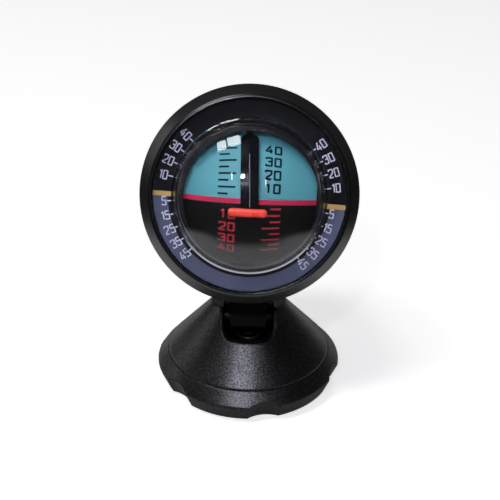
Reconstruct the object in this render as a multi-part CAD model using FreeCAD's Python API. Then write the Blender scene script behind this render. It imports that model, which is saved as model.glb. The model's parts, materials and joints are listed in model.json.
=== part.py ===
import FreeCAD, Part
import os
from math import asin, atan2, cos, degrees, pi, radians, sin, sqrt, tan
from FreeCAD import Placement, Rotation, Vector

# Dashboard inclinometer. Millimetres, +Z up, the dial faces -Y.
# The origin is the centre of the underside of the round adhesive pad.
# The head's pieces are drawn in the head's own frame and then leaned back:
# X to the right, Y up the dial, Z out of the dial, z = 0 on the front of the lens flange.

# ---------------------------------------------------------------- clearances
RUN = 0.05            # radial, shaft in its bearing
FIT = 0.1             # between pieces that are fitted together
TURN_GAP = 0.3        # between pieces that turn past each other
DRUM_GAP = 0.7        # round everything that the drum sweeps

# ---------------------------------------------------------------- screw heads
SCREW_HEAD_ROUND = 0.45    # rounding of a head, as a share of its thickness
CROSS_LENGTH = 0.62        # half length of the cross recess, as a share of the head's radius
CROSS_WIDTH = 0.16         # half width of each arm of the cross
CROSS_FLOOR = 0.45         # height of the recess floor, as a share of the head's thickness

# ---------------------------------------------------------------- pitch drum
DRUM_R = 27.5         # at mid width
DRUM_HALF_W = 22.5
DRUM_CROWN = 6.3      # how much the barrel narrows towards its ends
DRUM_WALL = 1.2
DRUM_FRONT_Z = 7.0    # how far the drum stands out in front of the lens flange
END_CAP_T = 1.6
HORIZON_T = 1.7       # crimson band between the two half shells
DRUM_TURN = 2.0       # degrees, how far the shells are turned from the drum's weight
AXLE_R = 1.0
BUSH_R = 2.6
BUSH_FLANGE_R = 3.6
BUSH_FLANGE_T = 0.4
DRUM_WEIGHT_R = 3.2
DRUM_WEIGHT_ORBIT = 15.0
DRUM_SCREW_R = 1.0
DRUM_SCREW_L = 5.0

# ---------------------------------------------------------------- window frame, pointer
FRAME_RIM_T = 0.6     # rim bonded to the back of the lens
FRAME_WALL = 0.7
WINDOW_Z = 2.9        # front edge of the window frame
WINDOW_LIP = 1.9      # depth of the straight part behind that edge
WINDOW_SHADE = 1.1    # how far the front edge reaches in over the drum at its upper left
WINDOW_SHADE_T = 0.6
ARM_HALF_H = 4.2      # half height of the arms that carry the axle
ARM_END = 4.5         # how far the arms run past the axle
FRAME_TURN = -2.4     # degrees that the frame is turned in the lens, with the drum and pointer
POINTER_ARM_W = 5.9
POINTER_ARM_T = 1.2
POINTER_ARM_RIDGE = 0.2
POINTER_ARM_GAP = 0.9
POINTER_ARM_ROUND = 1.7   # corners of its upper end
POINTER_END_GAP = 2.2     # from that end to the window's edge
POINTER_STEM_W = 2.0      # narrower stem from that end up to the foot
POINTER_FOOT_T = 2.9      # depth of the foot behind the stem
POINTER_DROP = 4.4    # the pointer's centre is this far below the axis
POINTER_SIDE = -0.6   # and this far to the right of it
POINTER_L = 12.8
POINTER_H = 2.7
POINTER_ROUND = 0.8
POINTER_T = 2.0

# ---------------------------------------------------------------- lens
LENS_T = 1.6
DOME_T = 1.35
DOME_SHOULDER_Z = 4.1
DOME_DRAFT = 1.55     # how far the dome's short wall leans in
DOME_APEX_Z = 13.5
LENS_EDGE = 0.6

# ---------------------------------------------------------------- roll dial
DIAL_GAP = 0.7        # behind the lens
DIAL_T = 1.2
DIAL_BAND = 7.0       # width of the printed ring
DIAL_TURN = -4.1      # degrees, how far the print is turned from the dial's weight
LEVEL_DROP = 1.3      # how far the level line is below the dial's middle
MARK_W = 1.7
MARK_T = 0.15
MARK_INSET = 0.25
CUP_T = 1.0
HUB_R = 4.2
HUB_PROUD = 1.4       # how far the hub stands out behind the cup
HUB_BUSH_R = 2.6
SPINDLE_R = 1.5
CLIP_T = 0.4
CLIP_R = 3.2
CLIP_GROOVE = 0.3     # depth of the spindle's groove
CLIP_MOUTH = 2.1
WASHER_T = 0.5
DIAL_WEIGHT_T = 2.3
DIAL_WEIGHT_DEPTH = 5.4
DIAL_WEIGHT_ANGLE = 92.0
DIAL_SCREW_R = 0.8
DIAL_SCREW_L = 3.6

# ---------------------------------------------------------------- housing and bezel
HOUSING_T = 1.5
SEAL_T = 0.5
SEAL_LIP = 1.1
BEZEL_T = 2.7         # bezel outside the housing
BEZEL_LEN = 13.0
BEZEL_LIP_H = 1.0
BEZEL_WIDEST_Z = -4.2
BEZEL_LAND = 1.3      # short straight band at the widest place
BEZEL_LIP_LAND = 0.7
BEZEL_ROUND = 0.45
BEZEL_TAPER = 0.8
SNAP_Z = -9.0
SNAP_H = 0.35
REAR_BOSS_R = 6.5
REAR_BOSS_FLOOR = 1.2
REAR_BOSS_ROUND = 1.4
SPINDLE_SEAT = 3.0    # length of the spindle that is pressed into the boss

# ---------------------------------------------------------------- neck and tilt hinge
LEAN = 20.0           # degrees that the head leans back at rest
HINGE_Y = -2.0
HINGE_Z = 25.5
NECK_W = 13.4
NECK_CLEAR = 12.2     # from the housing down to the hinge pin
NECK_SETBACK = 7.6    # how far the neck stands behind the middle of the ball
NECK_HEEL_R = 3.6
NECK_TOE_R = 1.0
NECK_BELOW = 4.0      # neck below the pin
NECK_FRONT = 5.0
NECK_BACK = 5.0
SADDLE_T = 1.8
SADDLE_WING = 3.8      # how far the saddle reaches out beside the neck
SADDLE_HALF_L = 6.1
NECK_SCREW_OUT = 2.0   # from the neck's side to its screws
NECK_THREAD_R = 0.8
NECK_SCREW_HEAD_R = 1.6
NECK_SCREW_HEAD_T = 1.0
PIN_R = 1.25
PIN_HEAD_R = 2.2
PIN_HEAD_T = 1.5
PIN_NUT_AF = 4.5
PIN_NUT_T = 1.8
FRICTION_WASHER_T = 0.5
FRICTION_WASHER_R = 3.6
EAR_T = 1.6
EAR_R = 5.0
YOKE_T = 1.8
YOKE_HALF_L = 9.2
YOKE_SCREW_Y = 7.2
YOKE_THREAD_R = 1.0
YOKE_SCREW_HEAD_R = 1.9
YOKE_SCREW_HEAD_T = 1.2

# ---------------------------------------------------------------- turret
SEAM_R = 30.6
SEAM_Z = 11.6
TURRET_CHEEK = 4.5    # how far the cone's top reaches out beside the notch
TURRET_WALL = 1.8
TURRET_TOP_Z = 30.4   # height of the sloping top over the swivel axis
TURRET_TOP_SLOPE = 13.5
TURRET_EDGE = 0.9     # rounding of the top and of the notch's mouth
NOTCH_GAP = 0.4       # between an ear of the yoke and the notch
NOTCH_Z = 24.2
NOTCH_CORNER = 3.0
NOTCH_BACK_Y = 10.5
WEB_T = 1.8

# ---------------------------------------------------------------- base
PAD_INSET = 0.5       # between the pad's edge and the ring
PAD_T = 1.0
RING_BOTTOM_Z = 0.4
RING_SIDE_Z = 6.6     # where the sloping top ends and the side wall starts
RING_UNDERCUT = 2.6   # how much the foot draws in under the widest place
RING_WALL = 2.3
RING_TOP_T = 2.4
RING_LEDGE = 6.5      # how far the ring's top reaches in under the cone
RING_ROUND = 1.0
SEAM_GAP = 0.3
SCALLOPS = 6
SCALLOP_TURN = 10.0   # degrees, the first cut-out is this far right of the front
SCALLOP_ANGLE = 22.0
SCALLOP_DEPTH = 2.1
PLATE_T = 2.0
BOSS_R = 8.0
BASE_SCREWS = 3
BASE_SCREW_INSET = 1.0    # between a screw's boss and the ring's wall
BASE_BOSS_R = 2.7
BASE_THREAD_R = 1.1
BASE_THREAD_TOP = 8.5
BASE_HEAD_R = 2.1
BASE_HEAD_T = 1.0
SWIVEL_R = 2.0
SWIVEL_HEAD_R = 4.0
SWIVEL_HEAD_T = 1.8
SWIVEL_WASHER_T = 0.6
SPRING_WASHER_T = 0.6
SWIVEL_THREAD = 7.0

# ---------------------------------------------------------------- worked out from the above
DRUM_Z = DRUM_FRONT_Z - DRUM_R
DRUM_END_R = DRUM_R - DRUM_CROWN
DRUM_REACH = sqrt(DRUM_HALF_W**2 + DRUM_END_R**2)   # radius of the ball that the drum sweeps


def reach(z):
    """Radius about the head's axis that the turning drum can reach at height z."""
    return sqrt(DRUM_REACH**2 - (z - DRUM_Z) ** 2)


FRAME_BACK_Z = -LENS_T - FRAME_RIM_T
FRAME_RIM_R = reach(FRAME_BACK_Z) + DRUM_GAP / 2 + FRAME_WALL
WINDOW_R = reach(WINDOW_Z - WINDOW_LIP) + DRUM_GAP
DOME_FOOT_R = FRAME_RIM_R - FRAME_WALL
POINTER_ARM_TOP = WINDOW_R - POINTER_END_GAP
POINTER_STEM_TOP = FRAME_RIM_R - FRAME_WALL - POINTER_ARM_T / 2
DIAL_INNER_R = FRAME_RIM_R + TURN_GAP
DIAL_OUTER_R = DIAL_INNER_R + DIAL_BAND
DIAL_Z = -LENS_T - DIAL_GAP
DIAL_BACK_Z = DIAL_Z - DIAL_T
CUP_IN_R = DRUM_REACH + DRUM_GAP
CUP_OUT_R = CUP_IN_R + CUP_T
CLIP_SEAT_R = SPINDLE_R - CLIP_GROOVE
HUB_FRONT_Z = DRUM_Z - DRUM_R - DRUM_GAP - CLIP_T
HUB_BACK_Z = DRUM_Z - CUP_OUT_R - HUB_PROUD
HOUSING_IN_R = max(CUP_OUT_R + DRUM_GAP, DIAL_OUTER_R + TURN_GAP + FIT)
HOUSING_OUT_R = HOUSING_IN_R + HOUSING_T
HOUSING_FRONT_Z = -LENS_T - SEAL_T
LENS_R = HOUSING_OUT_R - HOUSING_T / 2
BEZEL_BORE_R = HOUSING_OUT_R + FIT
BEZEL_R = BEZEL_BORE_R + BEZEL_T
LIP_R = LENS_R - SEAL_LIP
REAR_BOSS_Z = HUB_BACK_Z - WASHER_T - SPINDLE_SEAT - REAR_BOSS_FLOOR
ARM_IN_X = DRUM_HALF_W + BUSH_FLANGE_T + TURN_GAP
ARM_OUT_R = DOME_FOOT_R - FIT
SADDLE_HALF_W = NECK_W / 2 + SADDLE_WING
NECK_SCREW_X = NECK_W / 2 + NECK_SCREW_OUT
HINGE_LOCAL_Y = -(HOUSING_OUT_R + NECK_CLEAR)
HINGE_LOCAL_Z = DRUM_Z - NECK_SETBACK
EAR_IN_X = NECK_W / 2 + FRICTION_WASHER_T
EAR_OUT_X = EAR_IN_X + EAR_T
NOTCH_HALF_W = EAR_OUT_X + NOTCH_GAP
TURRET_TOP_R = NOTCH_HALF_W + TURRET_CHEEK
PLATE_Z = PAD_T
PLATE_TOP_Z = PLATE_Z + PLATE_T
WEB_Z = SEAM_Z + 0.6
YOKE_Z = WEB_Z + WEB_T
YOKE_TOP_Z = YOKE_Z + YOKE_T
SWIVEL_HEAD_Z = YOKE_TOP_Z + SWIVEL_WASHER_T + SPRING_WASHER_T
RING_TOP_Z = SEAM_Z - SEAM_GAP
RING_TOP_R = SEAM_R + SEAM_GAP / 2
CONE_RISE = (TURRET_TOP_Z - SEAM_Z) / (SEAM_R - TURRET_TOP_R)    # height gained per radius lost
RING_R = RING_TOP_R + (RING_TOP_Z - RING_SIDE_Z) / CONE_RISE
RING_FOOT_R = RING_R - RING_UNDERCUT
RING_INNER_R = RING_FOOT_R - RING_WALL
PAD_R = RING_INNER_R - PAD_INSET
BASE_SCREW_ORBIT = RING_INNER_R - BASE_BOSS_R - BASE_SCREW_INSET
CUT = 60.0            # longer than any cut has to be
TINY = 1e-4           # two heights or radii this close are the same


# ---------------------------------------------------------------- drawing helpers
def disc(r, z0, z1, hole=0.0):
    """A disc or ring about Z from z0 to z1."""
    body = Part.makeCylinder(r, z1 - z0, Vector(0, 0, z0))
    return body.cut(Part.makeCylinder(hole, z1 - z0, Vector(0, 0, z0))) if hole else body


def box(x0, x1, y0, y1, z0, z1):
    return Part.makeBox(x1 - x0, y1 - y0, z1 - z0, Vector(x0, y0, z0))


def turned(outline):
    """Revolves an outline about Z. A point is (r, z); a triple (r, z, (rm, zm)) ends an arc."""
    edges = []
    last = outline[0]
    for point in list(outline[1:]) + [outline[0][:2]]:
        start = Vector(last[0], 0, last[1])
        end = Vector(point[0], 0, point[1])
        if len(point) == 3:
            middle = Vector(point[2][0], 0, point[2][1])
            edges.append(Part.Arc(start, middle, end).toShape())
        elif start.distanceToPoint(end) > 1e-6:
            edges.append(Part.LineSegment(start, end).toShape())
        last = point
    face = Part.Face(Part.Wire(edges))
    return face.revolve(Vector(0, 0, 0), Vector(0, 0, 1), 360)


def arc_middle(r0, z0, r1, z1, centre_z):
    """The point half way round the arc about (0, centre_z) from (r0, z0) to (r1, z1)."""
    a0 = atan2(z0 - centre_z, r0)
    a1 = atan2(z1 - centre_z, r1)
    size = sqrt(r0**2 + (z0 - centre_z) ** 2)
    middle = (a0 + a1) / 2
    return (size * cos(middle), centre_z + size * sin(middle))


def spun(shape, angle):
    """Turns a shape about Z."""
    copy = shape.copy()
    copy.rotate(Vector(0, 0, 0), Vector(0, 0, 1), angle)
    return copy


def moved(shape, x=0.0, y=0.0, z=0.0):
    copy = shape.copy()
    copy.translate(Vector(x, y, z))
    return copy


def laid_along_x(shape):
    """Turns a shape drawn about Z so that its +Z points along +X."""
    copy = shape.copy()
    copy.rotate(Vector(0, 0, 0), Vector(0, 1, 0), 90)
    return copy


def slab(y0, y1):
    """Everything between two heights of the head's frame."""
    return box(-CUT, CUT, y0, y1, -2 * CUT, CUT)


def sector(r, angle, arc, z0, z1):
    """A wedge of a disc, centred on the direction angle from +X."""
    up = Vector(0, 0, 1)
    return spun(Part.makeCylinder(r, z1 - z0, Vector(0, 0, z0), up, arc), angle - arc / 2)


def screw(shank_r, shank_l, head_r, head_t):
    """A pan-head screw: the head stands above z = 0 and the shank below."""
    head = disc(head_r, 0, head_t)
    top = [e for e in head.Edges if abs(e.CenterOfMass.z - head_t) < 1e-6 and e.Closed]
    head = head.makeFillet(head_t * SCREW_HEAD_ROUND, top[:1])
    long_half = head_r * CROSS_LENGTH
    short_half = head_r * CROSS_WIDTH
    for half_x, half_y in ((long_half, short_half), (short_half, long_half)):
        head = head.cut(box(-half_x, half_x, -half_y, half_y, head_t * CROSS_FLOOR, 2 * head_t))
    return head.fuse(disc(shank_r, -shank_l, 0)).removeSplitter()


def hexagon(across_flats, z0, z1, hole):
    """A hexagonal nut about Z."""
    corner = across_flats / 2 / cos(radians(30))
    points = [Vector(corner * cos(i * pi / 3), corner * sin(i * pi / 3), z0) for i in range(7)]
    face = Part.Face(Part.makePolygon(points))
    return face.extrude(Vector(0, 0, z1 - z0)).cut(disc(hole, z0, z1))


def in_head(shape):
    """Leans a piece of the head back and carries it to its place over the hinge."""
    lean = radians(LEAN)
    up = Vector(0, sin(lean), cos(lean))
    out = Vector(0, -cos(lean), sin(lean))
    centre = Vector(0, HINGE_Y, HINGE_Z) - up * HINGE_LOCAL_Y - out * HINGE_LOCAL_Z
    copy = shape.copy()
    copy.Placement = Placement(centre, Rotation(Vector(1, 0, 0), 90 - LEAN)).multiply(copy.Placement)
    return copy


def edges_near(shape, wanted):
    """The edges of a shape whose middle meets a condition."""
    return [e for e in shape.Edges if wanted(e.valueAt((e.FirstParameter + e.LastParameter) / 2), e)]


# ---------------------------------------------------------------- pitch drum
def barrel(inward):
    """The drum's barrel about X with the same ends, its crowned side moved in by inward."""
    drop = DRUM_R - DRUM_END_R
    bulge = (DRUM_HALF_W**2 + drop**2) / (2 * drop) - inward
    end_r = DRUM_R - inward - bulge + sqrt(bulge**2 - DRUM_HALF_W**2)
    solid = turned(
        [
            (0.0, -DRUM_HALF_W),
            (end_r, -DRUM_HALF_W),
            (end_r, DRUM_HALF_W, (DRUM_R - inward, 0.0)),
            (0.0, DRUM_HALF_W),
        ]
    )
    return moved(laid_along_x(solid), z=DRUM_Z)


def drum_bore():
    """The hole through both end caps for the bushes."""
    return moved(laid_along_x(disc(BUSH_R, -CUT, CUT)), z=DRUM_Z)


def drum_skin():
    """The barrel's wall, open at both ends."""
    return barrel(0.0).cut(barrel(DRUM_WALL))


def drum_slice(low, high):
    """The part of the barrel's wall between two heights over the horizon's middle."""
    part = drum_skin().common(slab(low, high))
    part.rotate(Vector(0, 0, DRUM_Z), Vector(1, 0, 0), DRUM_TURN)
    return part


def drum_upper_shell():
    return drum_slice(HORIZON_T / 2, CUT)


def drum_lower_shell():
    return drum_slice(-CUT, -HORIZON_T / 2)


def horizon_band():
    return drum_slice(-HORIZON_T / 2, HORIZON_T / 2)


def drum_end_caps():
    """Two discs inside the ends of the shells, which carry the bushes and the weight."""
    caps = []
    for side in (-1, 1):
        inner = side * (DRUM_HALF_W - END_CAP_T)
        outer = side * DRUM_HALF_W
        keep = box(min(inner, outer), max(inner, outer), -CUT, CUT, -2 * CUT, CUT)
        cap = barrel(DRUM_WALL).common(keep).cut(drum_bore())
        caps.append(cap.cut(weight_hole()))
    return Part.makeCompound(caps)


def weight_place(shape):
    """Hangs a piece drawn about X straight below the axle, as the head leans at rest."""
    copy = moved(shape, y=-DRUM_WEIGHT_ORBIT)
    copy.rotate(Vector(0, 0, 0), Vector(1, 0, 0), LEAN)
    return moved(copy, z=DRUM_Z)


def weight_hole():
    return weight_place(laid_along_x(disc(DRUM_SCREW_R, -CUT, CUT)))


def drum_weight():
    """A steel bar between the end caps, tapped at both ends."""
    half = DRUM_HALF_W - END_CAP_T
    bar = disc(DRUM_WEIGHT_R, -half, half)
    tap = DRUM_SCREW_L - END_CAP_T
    for z0, z1 in ((-half, -half + tap), (half - tap, half)):
        bar = bar.cut(disc(DRUM_SCREW_R, z0, z1))
    return weight_place(laid_along_x(bar))


def drum_weight_screws():
    """One countersunk screw through each end cap; the heads stay inside the drum's width."""
    screws = []
    for side in (-1, 1):
        stem = disc(DRUM_SCREW_R, 0, DRUM_SCREW_L)
        stem = moved(stem, z=-DRUM_SCREW_L)
        stem = laid_along_x(stem)
        if side < 0:
            stem.rotate(Vector(0, 0, 0), Vector(0, 0, 1), 180)
        screws.append(weight_place(moved(stem, x=side * DRUM_HALF_W)))
    return Part.makeCompound(screws)


def drum_bushes():
    """Flanged brass bushes, pressed into the end caps from outside."""
    bush = disc(BUSH_R, DRUM_HALF_W - END_CAP_T, DRUM_HALF_W)
    bush = bush.fuse(disc(BUSH_FLANGE_R, DRUM_HALF_W, DRUM_HALF_W + BUSH_FLANGE_T)).removeSplitter()
    bush = bush.cut(disc(AXLE_R + RUN, -CUT, CUT))
    right = laid_along_x(bush)
    left = right.mirror(Vector(0, 0, 0), Vector(1, 0, 0))
    return moved(Part.makeCompound([left, right]), z=DRUM_Z)


def drum_axle():
    """A steel rod across the window frame's two arms."""
    half = sqrt(ARM_OUT_R**2 - AXLE_R**2)
    rod = disc(AXLE_R, -half, half)
    ends = edges_near(rod, lambda p, e: e.Closed)
    return moved(laid_along_x(rod.makeChamfer(AXLE_R / 4, ends)), z=DRUM_Z)


# ---------------------------------------------------------------- window frame and pointer
def frame_outline():
    """The window frame's section: a bonded rim, a wall inside the dome and a window edge."""
    wall_z = -FIT
    lip_back = WINDOW_Z - WINDOW_LIP
    lean_in = FRAME_WALL / 2
    return [
        (FRAME_RIM_R - FRAME_WALL, FRAME_BACK_Z),
        (FRAME_RIM_R, FRAME_BACK_Z),
        (FRAME_RIM_R, -LENS_T),
        (ARM_OUT_R, -LENS_T),
        (ARM_OUT_R, wall_z),
        (WINDOW_R + lean_in, WINDOW_Z),
        (WINDOW_R, WINDOW_Z),
        (WINDOW_R, lip_back),
        (reach(-LENS_T) + DRUM_GAP / 2, -LENS_T),
    ]


def window_shade():
    """A crescent at the window's edge: a thin ring whose hole sits low and to the right."""
    ring = disc(WINDOW_R + FRAME_WALL / 4, WINDOW_Z - WINDOW_SHADE_T, WINDOW_Z)
    hole = disc(WINDOW_R - WINDOW_SHADE / 3, WINDOW_Z - WINDOW_SHADE_T, WINDOW_Z)
    shift = WINDOW_SHADE * 2 / 3 / sqrt(2)
    return ring.cut(moved(hole, x=shift, y=-shift))


def drum_frame():
    """The window frame with the two arms that carry the drum's axle."""
    frame = turned(frame_outline()).fuse(window_shade())
    back = DRUM_Z - ARM_END
    for side in (-1, 1):
        x0, x1 = sorted((side * ARM_IN_X, side * CUT))
        arm = disc(ARM_OUT_R, back, 0).common(box(x0, x1, -ARM_HALF_H, ARM_HALF_H, back, 0))
        tip = moved(laid_along_x(disc(ARM_END, -CUT, CUT)), z=DRUM_Z)
        straight = box(-CUT, CUT, -CUT, CUT, DRUM_Z, CUT)
        frame = frame.fuse(arm.common(tip.fuse(straight)))
    return frame.cut(moved(laid_along_x(disc(AXLE_R, -CUT, CUT)), z=DRUM_Z)).removeSplitter()


def pointer_arm():
    """The dark bar that curves over the drum from the top of the window, with a ridge down it."""
    inner = DRUM_R + POINTER_ARM_GAP
    outer = inner + POINTER_ARM_T
    half = POINTER_ARM_W / 2
    ridge = (outer + POINTER_ARM_RIDGE, 0.0)
    section = [(inner, -half), (outer, -half), ridge, (outer, half), (inner, half)]
    bar = moved(laid_along_x(turned(section)), z=DRUM_Z)
    bottom = -POINTER_DROP - POINTER_H / 2 + FIT
    top = POINTER_ARM_TOP
    keep = box(-half, half, bottom, top, DRUM_Z, CUT)
    corners = edges_near(keep, lambda p, e: abs(p.y - top) < TINY and abs(abs(p.x) - half) < TINY)
    bar = bar.common(keep.makeFillet(POINTER_ARM_ROUND, corners))
    stem_half = POINTER_STEM_W / 2
    ring = moved(laid_along_x(disc(outer, -stem_half, stem_half, inner)), z=DRUM_Z)
    stem = ring.common(box(-CUT, CUT, top - POINTER_ARM_ROUND, POINTER_STEM_TOP, DRUM_Z, CUT))
    foot_back = DRUM_Z + sqrt(inner**2 - POINTER_STEM_TOP**2)
    foot = disc(FRAME_RIM_R, foot_back, FRAME_BACK_Z, FRAME_RIM_R - FRAME_WALL - FIT)
    foot = foot.common(box(-half, half, 0, CUT, foot_back, FRAME_BACK_Z))
    bridge_low = POINTER_STEM_TOP - 2 * POINTER_ARM_T
    bridge_front = foot_back + POINTER_FOOT_T
    bridge = box(-stem_half, stem_half, bridge_low, FRAME_RIM_R - FRAME_WALL, foot_back, bridge_front)
    bridge = bridge.cut(moved(laid_along_x(disc(inner, -CUT, CUT)), z=DRUM_Z))
    return bar.fuse([stem, foot, bridge]).removeSplitter()


def pointer():
    """The short red-orange capsule that crosses the foot of the bar."""
    r = POINTER_H / 2
    half = POINTER_L / 2 - r
    plan = Part.Wire(
        [
            Part.LineSegment(Vector(-half, -r, 0), Vector(half, -r, 0)).toShape(),
            Part.Arc(Vector(half, -r, 0), Vector(half + r, 0, 0), Vector(half, r, 0)).toShape(),
            Part.LineSegment(Vector(half, r, 0), Vector(-half, r, 0)).toShape(),
            Part.Arc(Vector(-half, r, 0), Vector(-half - r, 0, 0), Vector(-half, -r, 0)).toShape(),
        ]
    )
    bar = Part.Face(plan).extrude(Vector(0, 0, POINTER_T))
    front = edges_near(bar, lambda p, e: abs(p.z - POINTER_T) < 1e-6)
    bar = bar.makeFillet(POINTER_ROUND, front)
    seat = DRUM_R + POINTER_ARM_GAP + POINTER_ARM_T
    z = DRUM_Z + sqrt(seat**2 - (POINTER_DROP + r) ** 2)
    placed = moved(bar, z=z)
    placed.rotate(Vector(0, 0, 0), Vector(0, 0, 1), FRAME_TURN)
    return moved(placed, x=POINTER_SIDE, y=-POINTER_DROP).cut(pointer_arm())


# ---------------------------------------------------------------- lens, seal, bezel, housing
def lens():
    """One clear moulding: a flat ring over the dial and a dome with a short leaning wall."""
    foot_in = DOME_FOOT_R
    foot_out = foot_in + DOME_T
    shoulder_out = foot_out - DOME_DRAFT
    shoulder_in_z = DOME_SHOULDER_Z - DOME_T / 2
    shoulder_in = shoulder_out - DOME_T
    apex_in = DOME_APEX_Z - DOME_T
    rise = DOME_APEX_Z - DOME_SHOULDER_Z
    cap_r = (shoulder_out**2 + rise**2) / (2 * rise)
    rise_in = apex_in - shoulder_in_z
    cap_in_r = (shoulder_in**2 + rise_in**2) / (2 * rise_in)
    centre = DOME_APEX_Z - cap_r
    centre_in = apex_in - cap_in_r
    outline = [
        (0.0, apex_in),
        (shoulder_in, shoulder_in_z, arc_middle(0.0, apex_in, shoulder_in, shoulder_in_z, centre_in)),
        (foot_in, 0.0),
        (foot_in, -LENS_T),
        (LENS_R, -LENS_T),
        (LENS_R, -LENS_EDGE),
        (LENS_R - LENS_EDGE, 0.0),
        (foot_out, 0.0),
        (shoulder_out, DOME_SHOULDER_Z),
        (0.0, DOME_APEX_Z, arc_middle(shoulder_out, DOME_SHOULDER_Z, 0.0, DOME_APEX_Z, centre)),
    ]
    solid = turned(outline)
    shoulder = edges_near(
        solid,
        lambda p, e: e.Closed
        and abs(p.z - DOME_SHOULDER_Z) < TINY
        and abs(e.Curve.Radius - shoulder_out) < TINY,
    )
    return solid.makeFillet(DOME_T / 2, shoulder)


def lens_seal():
    """A rubber ring between the lens and the front of the housing."""
    return disc(LENS_R, HOUSING_FRONT_Z, -LENS_T, LENS_R - SEAL_LIP + SEAL_T / 2)


def front_bezel():
    """The flared ring that snaps over the housing and holds the lens down."""
    groove = BEZEL_BORE_R + SNAP_H
    outline = [
        (LIP_R, 0.0),
        (LIP_R, BEZEL_LIP_H / 2),
        (LIP_R + BEZEL_LIP_LAND, BEZEL_LIP_H),
        (BEZEL_R - BEZEL_LAND / 4, BEZEL_WIDEST_Z + BEZEL_LAND / 2),
        (BEZEL_R, BEZEL_WIDEST_Z),
        (BEZEL_R, BEZEL_WIDEST_Z - BEZEL_LAND),
        (BEZEL_R - BEZEL_TAPER, -BEZEL_LEN),
        (BEZEL_BORE_R, -BEZEL_LEN),
        (BEZEL_BORE_R, SNAP_Z - SNAP_H),
        (groove, SNAP_Z),
        (BEZEL_BORE_R, SNAP_Z + SNAP_H),
        (BEZEL_BORE_R, HOUSING_FRONT_Z),
        (LENS_R + FIT, HOUSING_FRONT_Z),
        (LENS_R + FIT, 0.0),
    ]
    solid = turned(outline)
    soft = edges_near(
        solid,
        lambda p, e: e.Closed
        and (
            abs(p.z - BEZEL_LIP_H) < TINY
            or e.Curve.Radius > BEZEL_R - BEZEL_LAND / 2
            or abs(e.Curve.Radius - BEZEL_R + BEZEL_TAPER) < TINY
        ),
    )
    return solid.makeFillet(BEZEL_ROUND, soft)


def rear_housing():
    """The cup behind the dial: a short tube closed by a half ball, with a boss for the spindle."""
    cup_z = DRUM_Z
    outline = [
        (HOUSING_IN_R, HOUSING_FRONT_Z),
        (HOUSING_OUT_R, HOUSING_FRONT_Z),
        (HOUSING_OUT_R, SNAP_Z + SNAP_H),
        (HOUSING_OUT_R + SNAP_H, SNAP_Z),
        (HOUSING_OUT_R, SNAP_Z - SNAP_H),
        (HOUSING_OUT_R, cup_z),
        (0.0, cup_z - HOUSING_OUT_R, arc_middle(HOUSING_OUT_R, cup_z, 0.0, cup_z - HOUSING_OUT_R, cup_z)),
        (0.0, cup_z - HOUSING_IN_R),
        (HOUSING_IN_R, cup_z, arc_middle(0.0, cup_z - HOUSING_IN_R, HOUSING_IN_R, cup_z, cup_z)),
    ]
    body = turned(outline)
    boss_in_z = HUB_BACK_Z - WASHER_T
    boss = disc(REAR_BOSS_R, REAR_BOSS_Z, DRUM_Z - HOUSING_IN_R)
    rim = edges_near(boss, lambda p, e: e.Closed and abs(p.z - REAR_BOSS_Z) < 1e-6)
    body = body.fuse(boss.makeFillet(REAR_BOSS_ROUND, rim)).removeSplitter()
    pocket = disc(HUB_R + DRUM_GAP, boss_in_z, DRUM_Z)
    spindle_hole = disc(SPINDLE_R, REAR_BOSS_Z + REAR_BOSS_FLOOR, boss_in_z)
    holes = [in_neck_screw_place(disc(NECK_THREAD_R, -CUT / 4, CUT / 4), side) for side in (-1, 1)]
    return body.cut([pocket, spindle_hole] + holes)


def in_neck_screw_place(shape, side):
    """Puts a piece drawn about Z on the saddle, pointing square out of the ball at one screw."""
    across = degrees(asin(NECK_SCREW_X / HOUSING_OUT_R))
    back = degrees(asin(NECK_SETBACK / HOUSING_OUT_R))
    copy = shape.copy()
    copy.rotate(Vector(0, 0, 0), Vector(1, 0, 0), 90)
    copy = moved(copy, y=-HOUSING_OUT_R - SADDLE_T)
    copy.rotate(Vector(0, 0, 0), Vector(0, 0, 1), side * across)
    copy.rotate(Vector(0, 0, 0), Vector(1, 0, 0), back)
    return moved(copy, z=DRUM_Z)


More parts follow.
